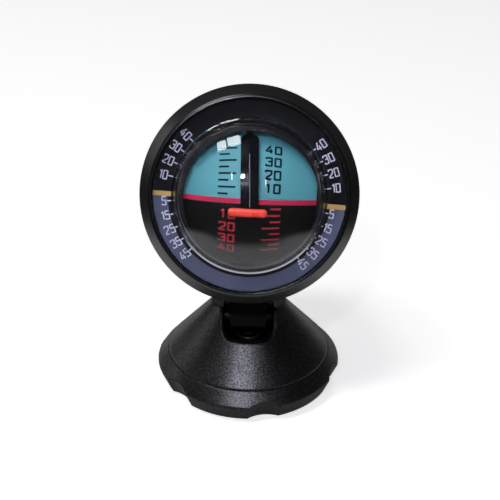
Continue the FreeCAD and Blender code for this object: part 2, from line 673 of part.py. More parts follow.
def neck_bracket():
    """The foot of the head: a saddle screwed under the housing and a block on the hinge pin."""
    z0 = HINGE_LOCAL_Z - NECK_BACK
    z1 = HINGE_LOCAL_Z + NECK_FRONT
    bottom = HINGE_LOCAL_Y - NECK_BELOW
    half = NECK_W / 2
    block = box(-half, half, bottom, -HOUSING_IN_R / 2, z0, z1)
    low_back = edges_near(block, lambda p, e: abs(p.y - bottom) < 1e-6 and abs(p.z - z0) < 1e-6)
    block = block.makeFillet(NECK_HEEL_R, low_back)
    low_front = edges_near(block, lambda p, e: abs(p.y - bottom) < 1e-6 and abs(p.z - z1) < 1e-6)
    block = block.makeFillet(NECK_TOE_R, low_front)
    reach_z = DRUM_Z
    outer = Part.makeSphere(HOUSING_OUT_R + SADDLE_T, Vector(0, 0, reach_z))
    outer = outer.fuse(disc(HOUSING_OUT_R + SADDLE_T, reach_z, 0))
    keep = box(
        -SADDLE_HALF_W,
        SADDLE_HALF_W,
        -CUT,
        -HOUSING_IN_R / 2,
        HINGE_LOCAL_Z - SADDLE_HALF_L,
        HINGE_LOCAL_Z + SADDLE_HALF_L,
    )
    corners = edges_near(keep, lambda p, e: abs(p.y + (CUT + HOUSING_IN_R / 2) / 2) < 1e-3)
    saddle = outer.common(keep.makeFillet(SADDLE_T, corners))
    ball = Part.makeSphere(HOUSING_OUT_R, Vector(0, 0, reach_z))
    inner = ball.fuse(disc(HOUSING_OUT_R, reach_z, CUT / 4))
    body = block.fuse(saddle).cut(inner).removeSplitter()
    bore = moved(laid_along_x(disc(PIN_R + RUN, -CUT, CUT)), y=HINGE_LOCAL_Y, z=HINGE_LOCAL_Z)
    holes = [in_neck_screw_place(disc(NECK_THREAD_R, -CUT / 4, CUT / 4), side) for side in (-1, 1)]
    return body.cut([bore] + holes)


def neck_screws():
    length = SADDLE_T + HOUSING_T
    one = screw(NECK_THREAD_R, length, NECK_SCREW_HEAD_R, NECK_SCREW_HEAD_T)
    return Part.makeCompound([in_neck_screw_place(one, side) for side in (-1, 1)])


# ---------------------------------------------------------------- roll dial
def dial_cup():
    """The light cup that carries the printed ring in front and turns on the spindle behind."""
    outline = [
        (CUP_IN_R, DIAL_BACK_Z),
        (CUP_OUT_R, DIAL_BACK_Z),
        (CUP_OUT_R, DRUM_Z),
        (0.0, DRUM_Z - CUP_OUT_R, arc_middle(CUP_OUT_R, DRUM_Z, 0.0, DRUM_Z - CUP_OUT_R, DRUM_Z)),
        (0.0, DRUM_Z - CUP_IN_R),
        (CUP_IN_R, DRUM_Z, arc_middle(0.0, DRUM_Z - CUP_IN_R, CUP_IN_R, DRUM_Z, DRUM_Z)),
    ]
    cup = turned(outline).fuse(disc(HUB_R, HUB_BACK_Z, HUB_FRONT_Z)).removeSplitter()
    return cup.cut(disc(HUB_BUSH_R, HUB_BACK_Z, HUB_FRONT_Z))


def dial_half(upper):
    """One half of the printed ring, split on the level line."""
    ring = disc(DIAL_OUTER_R, DIAL_BACK_Z, DIAL_Z, DIAL_INNER_R)
    for angle in dial_screw_angles():
        ring = ring.cut(dial_screw_place(disc(DIAL_SCREW_R, -DIAL_SCREW_L, 0), angle))
    half = slab(-LEVEL_DROP, CUT) if upper else slab(-CUT, -LEVEL_DROP)
    return ring.common(spun(half, DIAL_TURN))


def dial_face_upper():
    return dial_half(True)


def dial_face_lower():
    return dial_half(False)


def dial_index_marks():
    """The two gold bars on the level line."""
    marks = []
    for side in (-1, 1):
        x0, x1 = sorted((side * (DIAL_INNER_R + MARK_INSET), side * (DIAL_OUTER_R - MARK_INSET)))
        low = -LEVEL_DROP - MARK_W / 2
        bar = box(x0, x1, low, low + MARK_W, DIAL_Z, DIAL_Z + MARK_T)
        marks.append(spun(bar, DIAL_TURN))
    return Part.makeCompound(marks)


def dial_weight():
    """A steel arc behind the lower half of the ring; it keeps the dial level."""
    back = DIAL_BACK_Z - DIAL_WEIGHT_DEPTH
    inner = max(reach(back) + DRUM_GAP / 2, CUP_IN_R - DIAL_WEIGHT_T - FIT)
    arc = disc(CUP_IN_R - FIT, back, DIAL_BACK_Z, inner)
    arc = arc.common(sector(CUT, -90, DIAL_WEIGHT_ANGLE, back, DIAL_BACK_Z))
    for angle in dial_screw_angles():
        arc = arc.cut(dial_screw_place(disc(DIAL_SCREW_R, -DIAL_SCREW_L, 0), angle))
    return arc


def dial_screw_angles():
    third = DIAL_WEIGHT_ANGLE / 3
    return (-90 - third, -90 + third)


def dial_screw_place(shape, angle):
    """Puts a piece drawn about Z on the ring's front over the weight."""
    orbit = CUP_IN_R - FIT - DIAL_WEIGHT_T / 2
    return spun(moved(shape, x=orbit, z=DIAL_Z), angle)


def dial_weight_screws():
    """Two flush pins through the ring into the weight."""
    pin = disc(DIAL_SCREW_R, -DIAL_SCREW_L, 0)
    return Part.makeCompound([dial_screw_place(pin, angle) for angle in dial_screw_angles()])


def dial_bush():
    return disc(HUB_BUSH_R, HUB_BACK_Z, HUB_FRONT_Z, SPINDLE_R + RUN)


def dial_spindle():
    """The steel pin pressed into the housing's boss, grooved for its clip."""
    tip = HUB_FRONT_Z + CLIP_T + FIT
    pin = disc(SPINDLE_R, REAR_BOSS_Z + REAR_BOSS_FLOOR, tip)
    groove = disc(CLIP_R, HUB_FRONT_Z, HUB_FRONT_Z + CLIP_T, CLIP_SEAT_R)
    return pin.cut(groove)


def spindle_clip():
    """A C-shaped clip in the spindle's groove."""
    ring = disc(CLIP_R, HUB_FRONT_Z, HUB_FRONT_Z + CLIP_T, CLIP_SEAT_R)
    gap = box(-CLIP_MOUTH / 2, CLIP_MOUTH / 2, 0, CUT, HUB_FRONT_Z, HUB_FRONT_Z + CLIP_T)
    return ring.cut(gap)


def spindle_washer():
    return disc(HUB_R, HUB_BACK_Z - WASHER_T, HUB_BACK_Z, SPINDLE_R + RUN)


# ---------------------------------------------------------------- turret and tilt hinge
def cone(base_r, tip_r):
    """A cone of the turret's slope that stands on the seam's plane, cut off at tip_r."""
    return Part.makeCone(base_r, tip_r, (base_r - tip_r) * CONE_RISE, Vector(0, 0, SEAM_Z))


def above_top(lower_by):
    """Everything above the turret's sloping top, or above a plane lower by that much."""
    block = box(-CUT, CUT, -CUT, CUT, 0, CUT)
    block.rotate(Vector(0, 0, 0), Vector(1, 0, 0), -TURRET_TOP_SLOPE)
    return moved(block, z=TURRET_TOP_Z - lower_by)


def turret_notch():
    """The U-shaped slot in the front and the top that the neck swings in."""
    w = NOTCH_HALF_W
    c = NOTCH_CORNER
    turn = c * (1 - cos(pi / 4))
    z = NOTCH_Z
    top = z + CUT
    plan = Part.Wire(
        [
            Part.LineSegment(Vector(-w, 0, top), Vector(-w, 0, z + c)).toShape(),
            Part.Arc(Vector(-w, 0, z + c), Vector(-w + turn, 0, z + turn), Vector(-w + c, 0, z)).toShape(),
            Part.LineSegment(Vector(-w + c, 0, z), Vector(w - c, 0, z)).toShape(),
            Part.Arc(Vector(w - c, 0, z), Vector(w - turn, 0, z + turn), Vector(w, 0, z + c)).toShape(),
            Part.LineSegment(Vector(w, 0, z + c), Vector(w, 0, top)).toShape(),
            Part.LineSegment(Vector(w, 0, top), Vector(-w, 0, top)).toShape(),
        ]
    )
    slot = Part.Face(plan).extrude(Vector(0, CUT + NOTCH_BACK_Y, 0))
    return moved(slot, y=-CUT)


def turret_shell():
    """The hollow cone, with a web over the base's boss and the notch for the neck."""
    outer = cone(SEAM_R, TURRET_WALL).cut(above_top(0)).cut(turret_notch())
    outer = outer.makeFillet(TURRET_EDGE, edges_near(outer, outside_edge))
    inner_r = SEAM_R - TURRET_WALL * sqrt(1 + 1 / CONE_RISE**2)
    inner = cone(inner_r, FIT).cut(above_top(TURRET_WALL / cos(radians(TURRET_TOP_SLOPE))))
    web = disc(SEAM_R, WEB_Z, WEB_Z + WEB_T)
    body = outer.cut(inner.cut(web))
    hole = disc(SWIVEL_R + RUN, 0, CUT)
    screws = [moved(disc(YOKE_THREAD_R, 0, CUT / 3), y=side * YOKE_SCREW_Y) for side in (-1, 1)]
    return body.cut([hole] + screws)


def outside_edge(p, e):
    """True for the turret's outer edges: round its top and round the mouth of the notch."""
    cone_r = SEAM_R - (p.z - SEAM_Z) / CONE_RISE
    on_cone = abs(sqrt(p.x**2 + p.y**2) - cone_r) < 0.02
    on_top = abs(p.z - TURRET_TOP_Z + p.y * tan(radians(TURRET_TOP_SLOPE))) < 0.02
    straight_down = abs(p.y) < 1e-3 and e.Length > SEAM_Z
    return p.z > NOTCH_Z - 0.1 and (on_cone or on_top) and not straight_down


def hinge_yoke():
    """The U-shaped bracket inside the turret: a floor under the swivel screw and two ears."""
    floor = box(-EAR_OUT_X, EAR_OUT_X, -YOKE_HALF_L, YOKE_HALF_L, YOKE_Z, YOKE_TOP_Z)
    upright = edges_near(floor, lambda p, e: abs(p.z - (YOKE_Z + YOKE_TOP_Z) / 2) < 1e-6)
    body = floor.makeFillet(EAR_T, upright)
    for side in (-1, 1):
        x0, x1 = sorted((side * EAR_IN_X, side * EAR_OUT_X))
        ear = laid_along_x(disc(EAR_R, x0, x1))
        ear = moved(ear, y=HINGE_Y, z=HINGE_Z)
        post = box(x0, x1, HINGE_Y - EAR_R, HINGE_Y + EAR_R, YOKE_Z, HINGE_Z)
        body = body.fuse([ear, post])
    bore = moved(laid_along_x(disc(PIN_R, -CUT, CUT)), y=HINGE_Y, z=HINGE_Z)
    hole = disc(SWIVEL_R + RUN, 0, CUT / 3)
    screws = [moved(disc(YOKE_THREAD_R, 0, CUT / 3), y=side * YOKE_SCREW_Y) for side in (-1, 1)]
    return body.cut([bore, hole] + screws).removeSplitter()


def yoke_screws():
    one = screw(YOKE_THREAD_R, YOKE_T + WEB_T, YOKE_SCREW_HEAD_R, YOKE_SCREW_HEAD_T)
    return Part.makeCompound([moved(one, y=side * YOKE_SCREW_Y, z=YOKE_TOP_Z) for side in (-1, 1)])


def hinge_pin():
    """The bolt through both ears and the neck."""
    length = 2 * EAR_OUT_X + PIN_NUT_T
    bolt = screw(PIN_R, length, PIN_HEAD_R, PIN_HEAD_T)
    bolt.rotate(Vector(0, 0, 0), Vector(0, 1, 0), -90)
    return moved(bolt, x=-EAR_OUT_X, y=HINGE_Y, z=HINGE_Z)


def hinge_nut():
    nut = hexagon(PIN_NUT_AF, EAR_OUT_X, EAR_OUT_X + PIN_NUT_T, PIN_R)
    return moved(laid_along_x(nut), y=HINGE_Y, z=HINGE_Z)


def friction_washers():
    """The two discs that grip the neck between the ears."""
    discs = []
    for side in (-1, 1):
        x0, x1 = sorted((side * NECK_W / 2, side * EAR_IN_X))
        ring = laid_along_x(disc(FRICTION_WASHER_R, x0, x1, PIN_R))
        discs.append(moved(ring, y=HINGE_Y, z=HINGE_Z))
    return Part.makeCompound(discs)


# ---------------------------------------------------------------- base
def base_ring():
    """The grip ring under the cone, with six finger cut-outs."""
    under_z = RING_TOP_Z - RING_TOP_T
    ledge_r = RING_TOP_R - RING_LEDGE
    ring = turned(
        [
            (RING_INNER_R, RING_BOTTOM_Z),
            (RING_INNER_R, under_z),
            (ledge_r, under_z),
            (ledge_r, RING_TOP_Z),
            (RING_TOP_R, RING_TOP_Z),
            (RING_R, RING_SIDE_Z),
            (RING_FOOT_R, RING_BOTTOM_Z),
        ]
    )
    corner = edges_near(ring, lambda p, e: e.Closed and abs(p.z - RING_SIDE_Z) < TINY)
    ring = ring.makeFillet(RING_ROUND, corner)
    ring = ring.cut([scallop(i) for i in range(SCALLOPS)])
    bosses = [base_screw_place(disc(BASE_BOSS_R, PLATE_TOP_Z, RING_TOP_Z), i) for i in range(BASE_SCREWS)]
    holes = [base_screw_place(disc(BASE_THREAD_R, 0, BASE_THREAD_TOP), i) for i in range(BASE_SCREWS)]
    return ring.fuse(bosses).cut(holes).removeSplitter()


def scallop(index):
    """A leaning cylinder that cuts one finger hollow out of the ring's edge."""
    half = RING_R * sin(radians(SCALLOP_ANGLE / 2))
    size = (half**2 + SCALLOP_DEPTH**2) / (2 * SCALLOP_DEPTH)
    lean = degrees(atan2(RING_UNDERCUT, RING_SIDE_Z - RING_BOTTOM_Z))
    tool = Part.makeCylinder(size, CUT, Vector(0, 0, -CUT / 2))
    tool.rotate(Vector(0, 0, 0), Vector(0, 1, 0), lean)
    tool = moved(tool, x=RING_R - SCALLOP_DEPTH + size / cos(radians(lean)), z=RING_SIDE_Z)
    return spun(tool, -90 + SCALLOP_TURN + index * 360 / SCALLOPS)


def base_screw_place(shape, index):
    return spun(moved(shape, x=BASE_SCREW_ORBIT), 90 + index * 360 / BASE_SCREWS)


def base_plate():
    """The disc that closes the ring from below; its boss carries the turret."""
    body = disc(RING_INNER_R - FIT, PLATE_Z, PLATE_TOP_Z).fuse(disc(BOSS_R, PLATE_Z, WEB_Z))
    cuts = [disc(SWIVEL_R, WEB_Z - SWIVEL_THREAD, WEB_Z)]
    for index in range(BASE_SCREWS):
        cuts.append(base_screw_place(disc(BASE_THREAD_R, 0, BASE_THREAD_TOP), index))
        cuts.append(base_screw_place(disc(BASE_HEAD_R + FIT, PLATE_Z, PLATE_Z + BASE_HEAD_T), index))
    return body.removeSplitter().cut(cuts)


def base_screws():
    length = BASE_THREAD_TOP - PLATE_Z - BASE_HEAD_T
    one = screw(BASE_THREAD_R, length, BASE_HEAD_R, BASE_HEAD_T)
    one.rotate(Vector(0, 0, 0), Vector(1, 0, 0), 180)
    one = moved(one, z=PLATE_Z + BASE_HEAD_T)
    return Part.makeCompound([base_screw_place(one, i) for i in range(BASE_SCREWS)])


def adhesive_pad():
    return disc(PAD_R, 0, PAD_T)


def swivel_screw():
    """The shoulder screw that holds the turret down on the base's boss."""
    one = screw(SWIVEL_R, SWIVEL_HEAD_Z - WEB_Z + SWIVEL_THREAD, SWIVEL_HEAD_R, SWIVEL_HEAD_T)
    return moved(one, z=SWIVEL_HEAD_Z)


def swivel_washer():
    return disc(SWIVEL_HEAD_R + TURN_GAP, YOKE_TOP_Z, YOKE_TOP_Z + SWIVEL_WASHER_T, SWIVEL_R)


def spring_washer():
    """A split washer under the screw's head."""
    z0 = YOKE_TOP_Z + SWIVEL_WASHER_T
    ring = disc(SWIVEL_HEAD_R - TURN_GAP, z0, SWIVEL_HEAD_Z, SWIVEL_R)
    return ring.cut(box(0, CUT, -TURN_GAP / 2, TURN_GAP / 2, z0, SWIVEL_HEAD_Z))


FRAME_PIECES = (
    drum_upper_shell,
    drum_lower_shell,
    horizon_band,
    drum_end_caps,
    drum_weight,
    drum_weight_screws,
    drum_bushes,
    drum_axle,
    drum_frame,
)
HEAD_PIECES = (
    pointer_arm,
    pointer,
    lens,
    lens_seal,
    front_bezel,
    rear_housing,
    neck_bracket,
    neck_screws,
    dial_cup,
    dial_face_upper,
    dial_face_lower,
    dial_index_marks,
    dial_weight,
    dial_weight_screws,
    dial_bush,
    dial_spindle,
    spindle_clip,
    spindle_washer,
)
STAND_PIECES = (
    turret_shell,
    hinge_yoke,
    yoke_screws,
    hinge_pin,
    hinge_nut,
    friction_washers,
    base_ring,
    base_plate,
    base_screws,
    adhesive_pad,
    swivel_screw,
    swivel_washer,
    spring_washer,
)

os.makedirs("parts", exist_ok=True)
for piece in FRAME_PIECES:
    in_head(spun(piece(), FRAME_TURN)).exportStep("parts/" + piece.__name__ + ".step")
for piece in HEAD_PIECES:
    in_head(piece()).exportStep("parts/" + piece.__name__ + ".step")
for piece in STAND_PIECES:
    piece().exportStep("parts/" + piece.__name__ + ".step")
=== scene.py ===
"""Dresses the dashboard inclinometer: finishes, printed scales, clear lens, stage and camera."""

import json
import math

import bmesh
import bpy
from bpy.props import FloatProperty, FloatVectorProperty, IntProperty, PointerProperty
from mathutils import Matrix, Vector
from mathutils.bvhtree import BVHTree


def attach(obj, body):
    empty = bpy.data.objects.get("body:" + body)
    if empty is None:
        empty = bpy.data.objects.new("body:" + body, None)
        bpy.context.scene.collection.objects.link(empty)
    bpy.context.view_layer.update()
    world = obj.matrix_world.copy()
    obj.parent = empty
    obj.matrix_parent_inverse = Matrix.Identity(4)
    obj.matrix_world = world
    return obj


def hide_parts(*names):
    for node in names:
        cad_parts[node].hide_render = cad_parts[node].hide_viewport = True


bl_info = {
    "name": "Dashboard Inclinometer",
    "version": (1, 0, 0),
    "blender": (4, 5, 0),
    "location": "View3D > Sidebar > Inclinometer",
    "description": "Dresses the packed inclinometer with its finishes, print, lens and stage",
    "category": "Object",
}

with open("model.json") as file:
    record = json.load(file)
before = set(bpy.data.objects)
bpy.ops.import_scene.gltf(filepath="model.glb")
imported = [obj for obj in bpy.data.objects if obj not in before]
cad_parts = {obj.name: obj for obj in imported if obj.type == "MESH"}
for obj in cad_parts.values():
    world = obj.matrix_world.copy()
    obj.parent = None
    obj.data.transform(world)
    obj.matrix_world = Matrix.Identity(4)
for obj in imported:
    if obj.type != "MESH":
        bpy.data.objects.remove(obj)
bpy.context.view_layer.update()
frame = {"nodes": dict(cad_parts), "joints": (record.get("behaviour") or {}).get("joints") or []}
JOINTS = {joint["name"]: joint for joint in frame["joints"]}

MM = 0.001

# Sizes in millimetres. The head's own axes are X to the right, Y up the dial and Z out of it,
# with z = 0 on the front of the lens flange.
DRUM_Z = -20.5
DRUM_R = 27.5
DRUM_HALF_W = 22.5
DRUM_CROWN = 6.3
DRUM_WALL = 1.2
HORIZON_T = 1.7
DRUM_TURN = 2.0
DRUM_BULGE_R = (DRUM_HALF_W**2 + DRUM_CROWN**2) / (2 * DRUM_CROWN)

DRUM_OUTER_STEPS = 36
DRUM_INNER_STEPS = 24

LENS_R = 34.42
LENS_T = 1.6
LENS_EDGE = 0.6
LENS_FIT = 0.1
LENS_SEAT = 0.5
DOME_FOOT_R = 25.27
DOME_T = 1.35
DOME_DRAFT = 1.55
DOME_SHOULDER_Z = 4.1
DOME_APEX_Z = 13.5
DOME_INNER_STEPS = 48
DOME_OUTER_STEPS = 120

# The chamfer at the foot of the dome. Below y = -CHAMFER_TOP it is an opaque silver mirror, a
# painted reflection that stands for the light totally reflected inside the clear chamfer.
CHAMFER_W = 0.48
CHAMFER_H = 0.26
CHAMFER_TOP = 6.0

# The roll dial: black rims, and between them the coloured film. The line between its halves
# lies LEVEL_DROP below the middle.
DIAL_INNER_R = 26.27
DIAL_OUTER_R = 33.27
DIAL_EDGE = 0.12
FILM_INNER_R = 28.0
FILM_OUTER_R = 33.0
DIAL_Z = -2.3
DIAL_T = 1.2
DIAL_TURN = -4.1
LEVEL_DROP = 1.3

# The bezel: a polished lip whose crown falls gently, a shoulder, and the flare.
LIP_R = 33.32
LIP_H = 1.0
CROWN_W = 1.0
CROWN_DROP = 0.27
SHOULDER_W = 1.55
SHOULDER_DROP = 0.85
POLISH_W = 1.2
BEZEL_R = 37.97
BEZEL_BORE_R = 35.27
BEZEL_WIDEST_Z = -4.2
BEZEL_LAND = 1.3
BEZEL_TAPER = 0.8
BEZEL_LEN = 13.0

# The fine light line along the bar, a painted sheen on its ridge: its place, its lean to the bar
# and its section.
LINE_X = 0.1
LINE_LEAN = 0.054
LINE_START = -2.6
LINE_END = 15.0
LINE_STEP = 0.4
LINE_SECTION = ((-0.13, -0.05), (-0.08, 0.05), (0.08, 0.05), (0.13, -0.05))
ABOVE_HEAD = 30.0

# Print stands INK_LIFT above its surface and reaches INK_SINK into it.
INK_LIFT = 0.03
INK_SINK = 0.05
INK_STEP = 0.7

# Print on the drum, for the upper half and the lower: where the numbers begin or end along the
# axle, and the ends of the long lines and of the short ones. The numbers' rows are DRUM_ROW
# degrees apart.
DRUM_ROW = 9.65
DRUM_PRINT = {
    True: (4.6, (-10.6, -4.8), (-10.6, -7.2)),
    False: (-4.4, (4.5, 10.4), (7.1, 10.6)),
}
DRUM_DIGIT_GAP = 0.45
DRUM_INK_CORNER = 0.32

# Print on the dial, for the upper half and the lower: the numbers and the radius of their middles.
DIAL_PRINT = {
    True: ((10, 20, 30, 40), 30.0),
    False: ((5, 15, 25, 35, 45), 28.9),
}
DIAL_PRINT_X = -0.25
DIAL_DIGIT_GAP = 0.3
DIAL_INK_CORNER = 0.4
TICK_FOOT = 0.1
TICK_GAP = 0.25

# The stage, in metres. Mirrored rays see a table with rounded corners and soft edges, whose
# front edge is 0.12 m away, and beyond it the dim room. Close round the object's base and
# behind it they see the table darkened, a painted shadow of the object.
FLOOR_Z = -0.0001
MOTTLE_PER_METRE = 6.0
TABLE_MIDDLE = (-0.005, 0.125, 0.0)
TABLE_HALF = (0.09, 0.19, 1.0)
TABLE_FADE = (0.025, 0.08)
SHADOW_BEHIND = (9.0, 0.0, 9.0)
PAINTED_SHADOW_FADE = (0.04, 0.062)
PAINTED_SHADOW_DEPTH = 0.7
FLOOR_GLOW = 0.7
MIRRORED_GLOW = 0.3

# The room round the stage. Each fade runs between two parts of a ray's direction: how far back
# it points, or how far up.
ROOM_FRONT = 0.03
ROOM_BACK = 0.08
ROOM_FADE = (-0.25, 0.6)
WALL_GLOW = 0.7
WALL_LOW = (0.15, 0.35)
WALL_AWAY = (-0.2, 0.0)

# Lamps: name, direction from the head, distance, width and height, radiance, roll in degrees.
HEAD_MIDDLE = Vector((0.0, -0.012, 0.080))
LAMPS = (
    ("window_left", (-0.449, -0.186, 0.865), 1.2, (0.185, 0.215), 15, 0),
    ("window_right", (-0.252, -0.164, 0.942), 1.2, (0.25, 0.22), 15, 6),
    ("gap_left", (-0.317, -0.718, 0.619), 1.0, (0.026, 0.13), 16, 0),
    ("gap_right", (0.288, -0.792, 0.538), 1.0, (0.022, 0.15), 16, 0),
    ("wall_left", (-0.87, 0.33, 0.34), 1.2, (0.5, 0.4), 1.1, 0),
)
# The flash is round. Its glint shines from just behind it and lights no matt surface.
FLASH_TOWARD = (-0.124, -0.756, 0.643)
FLASH = ("flash", FLASH_TOWARD, 0.45, (0.036, 0.036), 105)
FLASH_GLINT = ("flash_glint", FLASH_TOWARD, 0.46, (0.037, 0.037), 165)
FLASH_COLOUR = (0.83, 0.83, 1.0)

# The camera: focal length and target in millimetres, angles in degrees.
CAMERA_LENS = 68.26
CAMERA_SHIFT = 0.0356
CAMERA_TARGET = Vector((0.38, 0.0, 45.0))
CAMERA_DISTANCE = 350.0
CAMERA_ELEVATION = 29.5
CAMERA_ROLL = 0.5


# ---------------------------------------- colours and shader nodes
def srgb(code):
    """An sRGB hex colour as linear red, green and blue."""
    parts = [int(code[i : i + 2], 16) / 255 for i in (1, 3, 5)]
    return tuple(p / 12.92 if p <= 0.04045 else ((p + 0.055) / 1.055) ** 2.4 for p in parts)


def add_node(tree, kind, inputs=None, **settings):
    """Adds a node. inputs gives each socket a value, or the output socket that feeds it."""
    node = tree.nodes.new(kind)
    for name, value in settings.items():
        setattr(node, name, value)
    for name, value in (inputs or {}).items():
        if isinstance(value, bpy.types.NodeSocket):
            tree.links.new(value, node.inputs[name])
        else:
            node.inputs[name].default_value = value
    return node


def new_material(name):
    """An empty node material and its tree."""
    material = bpy.data.materials.new(name)
    material.use_nodes = True
    material.node_tree.nodes.clear()
    return material, material.node_tree


def close_material(tree, shader):
    """Wires the finished shader to the surface."""
    add_node(tree, "ShaderNodeOutputMaterial", {"Surface": shader.outputs[0]})


# ---------------------------------------- materials
CLOUD_MM = 14.0
CLOUD_SPREAD = 0.12
GLINT_GAIN = 1.6


def moulded_plastic(
    name, colour, roughness, grain_mm=0.35, depth_mm=0.012,
    tint=0.25, shine=0.5, edge_mm=0.3, sparkle=0.0,
):
    """Injection-moulded plastic from a spark-eroded or polished tool.

    The grain is a relief grain_mm wide and depth_mm deep that breaks up the highlight and shifts
    the colour by tint. Real grain is near 0.1 mm wide, too fine to show, so it is drawn coarser.
    Slow clouds in the gloss are the marks of handling. Sharp edges shade as if they were rounded
    by edge_mm. Sparkle is how much of the shine comes and goes with the grain.
    """
    material, tree = new_material(name)
    place = add_node(tree, "ShaderNodeTexCoord")
    grain = add_node(
        tree,
        "ShaderNodeTexNoise",
        {
            "Vector": place.outputs["Object"],
            "Scale": 1 / (grain_mm * MM),
            "Detail": 3.0,
            "Roughness": 0.6,
        },
    )
    clouds = add_node(
        tree,
        "ShaderNodeTexNoise",
        {
            "Vector": place.outputs["Object"],
            "Scale": 1 / (CLOUD_MM * MM),
            "Detail": 4.0,
            "Roughness": 0.55,
        },
    )
    gloss = add_node(
        tree,
        "ShaderNodeMapRange",
        {
            "Value": clouds.outputs["Fac"],
            "From Min": 0.3,
            "From Max": 0.7,
            "To Min": roughness * (1 - CLOUD_SPREAD),
            "To Max": roughness * (1 + CLOUD_SPREAD),
        },
    )
    dark = tuple(c * (1 - tint) for c in colour)
    light = tuple(min(1.0, c * (1 + tint)) for c in colour)
    shade = add_node(
        tree,
        "ShaderNodeMix",
        {0: grain.outputs["Fac"], 6: (*dark, 1), 7: (*light, 1)},
        data_type="RGBA",
    )
    level = shine
    if sparkle:
        glints = add_node(
            tree,
            "ShaderNodeMapRange",
            {
                "Value": grain.outputs["Fac"],
                "From Min": 0.4,
                "From Max": 0.62,
                "To Min": shine * (1 - sparkle),
                "To Max": shine * (1 + GLINT_GAIN * sparkle),
            },
        )
        level = glints.outputs[0]
    edges = add_node(tree, "ShaderNodeBevel", {"Radius": edge_mm * MM}, samples=6)
    relief = add_node(
        tree,
        "ShaderNodeBump",
        {
            "Height": grain.outputs["Fac"],
            "Distance": depth_mm * MM,
            "Strength": 1.0,
            "Normal": edges.outputs[0],
        },
    )
    shader = add_node(
        tree,
        "ShaderNodeBsdfPrincipled",
        {
            "Base Color": shade.outputs[2],
            "Roughness": gloss.outputs[0],
            "IOR": 1.53,
            "Specular IOR Level": level,
            "Normal": relief.outputs[0],
        },
    )
    close_material(tree, shader)
    return material


def worked_metal(name, colour, roughness, grain_mm=0.12):
    """Turned or pressed metal. Fine tool marks, grain_mm apart, break up its gloss."""
    material, tree = new_material(name)
    place = add_node(tree, "ShaderNodeTexCoord")
    marks = add_node(
        tree,
        "ShaderNodeTexNoise",
        {"Vector": place.outputs["Object"], "Scale": 1 / (grain_mm * MM), "Detail": 2.0},
    )
    gloss = add_node(
        tree,
        "ShaderNodeMapRange",
        {
            "Value": marks.outputs["Fac"],
            "From Min": 0.25,
            "From Max": 0.75,
            "To Min": roughness * 0.7,
            "To Max": roughness * 1.3,
        },
    )
    relief = add_node(
        tree,
        "ShaderNodeBump",
        {"Height": marks.outputs["Fac"], "Distance": 0.003 * MM, "Strength": 0.6},
    )
    shader = add_node(
        tree,
        "ShaderNodeBsdfPrincipled",
        {
            "Base Color": (*colour, 1),
            "Metallic": 1.0,
            "Roughness": gloss.outputs[0],
            "Normal": relief.outputs[0],
        },
    )
    close_material(tree, shader)
    return material


def clear_acrylic(name):
    """Polished acrylic (PMMA), clear and colourless, with sharp reflections on it."""
    material, tree = new_material(name)
    shader = add_node(
        tree,
        "ShaderNodeBsdfPrincipled",
        {
            "Base Color": (1.0, 1.0, 1.0, 1),
            "Roughness": 0.0,
            "IOR": 1.49,
            "Transmission Weight": 1.0,
        },
    )
    close_material(tree, shader)
    return material


# ---------------------------------------- places
def head_place():
    """Takes the head's own millimetres to their place in the scene at rest."""
    joint = JOINTS["dial_roll"]
    out = Vector(joint["axis"]).normalized()
    across = Vector((1.0, 0.0, 0.0))
    up = out.cross(across)
    origin = Vector(joint["pos_m"]) - out * (DRUM_Z * MM)
    turn = Matrix((across, up, out)).transposed().to_4x4()
    return Matrix.Translation(origin) @ turn @ Matrix.Scale(MM, 4)


def window_place():
    """The same for the window frame, the drum and the pointer, which are turned in the head."""
    axle = Vector(JOINTS["drum_pitch"]["axis"])
    out = Vector(JOINTS["dial_roll"]["axis"])
    across = Vector((1.0, 0.0, 0.0))
    turn = math.atan2(axle.dot(out.cross(across)), axle.dot(across))
    return head_place() @ Matrix.Rotation(turn, 4, "Z")


def drum_place():
    """The same for the drum's shells: X along the axle, Z out through the horizon's middle."""
    middle = window_place() @ Matrix.Translation((0, 0, DRUM_Z))
    return middle @ Matrix.Rotation(math.radians(DRUM_TURN), 4, "X")


def dial_place():
    """The same for the roll dial, turned by the set of its print."""
    return head_place() @ Matrix.Rotation(math.radians(DIAL_TURN), 4, "Z")


# ---------------------------------------- mesh helpers
def arc(centre, radius, start, end, steps):
    """Points of a section along an arc, from start to end in degrees."""
    points = []
    for i in range(steps + 1):
        angle = math.radians(start + (end - start) * i / steps)
        points.append((centre[0] + radius * math.cos(angle), centre[1] + radius * math.sin(angle)))
    return points


def spun(section, steps, closed=True):
    """Spins a section of (radius, height) points about Z. A third number rounds that corner."""
    bm = bmesh.new()
    verts = [bm.verts.new((point[0], 0, point[1])) for point in section]
    ends = verts[1:] + verts[:1] if closed else verts[1:]
    for a, b in zip(verts, ends):
        bm.edges.new((a, b))
    for vert, point in zip(verts, section):
        if len(point) == 3:
            bmesh.ops.bevel(
                bm,
                geom=[vert],
                offset=point[2],
                offset_type="OFFSET",
                segments=5,
                profile=0.5,
                affect="VERTICES",
                material=-1,
            )
    bmesh.ops.spin(
        bm,
        geom=bm.verts[:] + bm.edges[:],
        cent=(0, 0, 0),
        axis=(0, 0, 1),
        dvec=(0, 0, 0),
        angle=2 * math.pi,
        steps=steps,
        use_merge=True,
        use_normal_flip=False,
        use_duplicate=False,
    )
    bmesh.ops.remove_doubles(bm, verts=bm.verts, dist=1e-4)
    bmesh.ops.recalc_face_normals(bm, faces=bm.faces)
    return bm


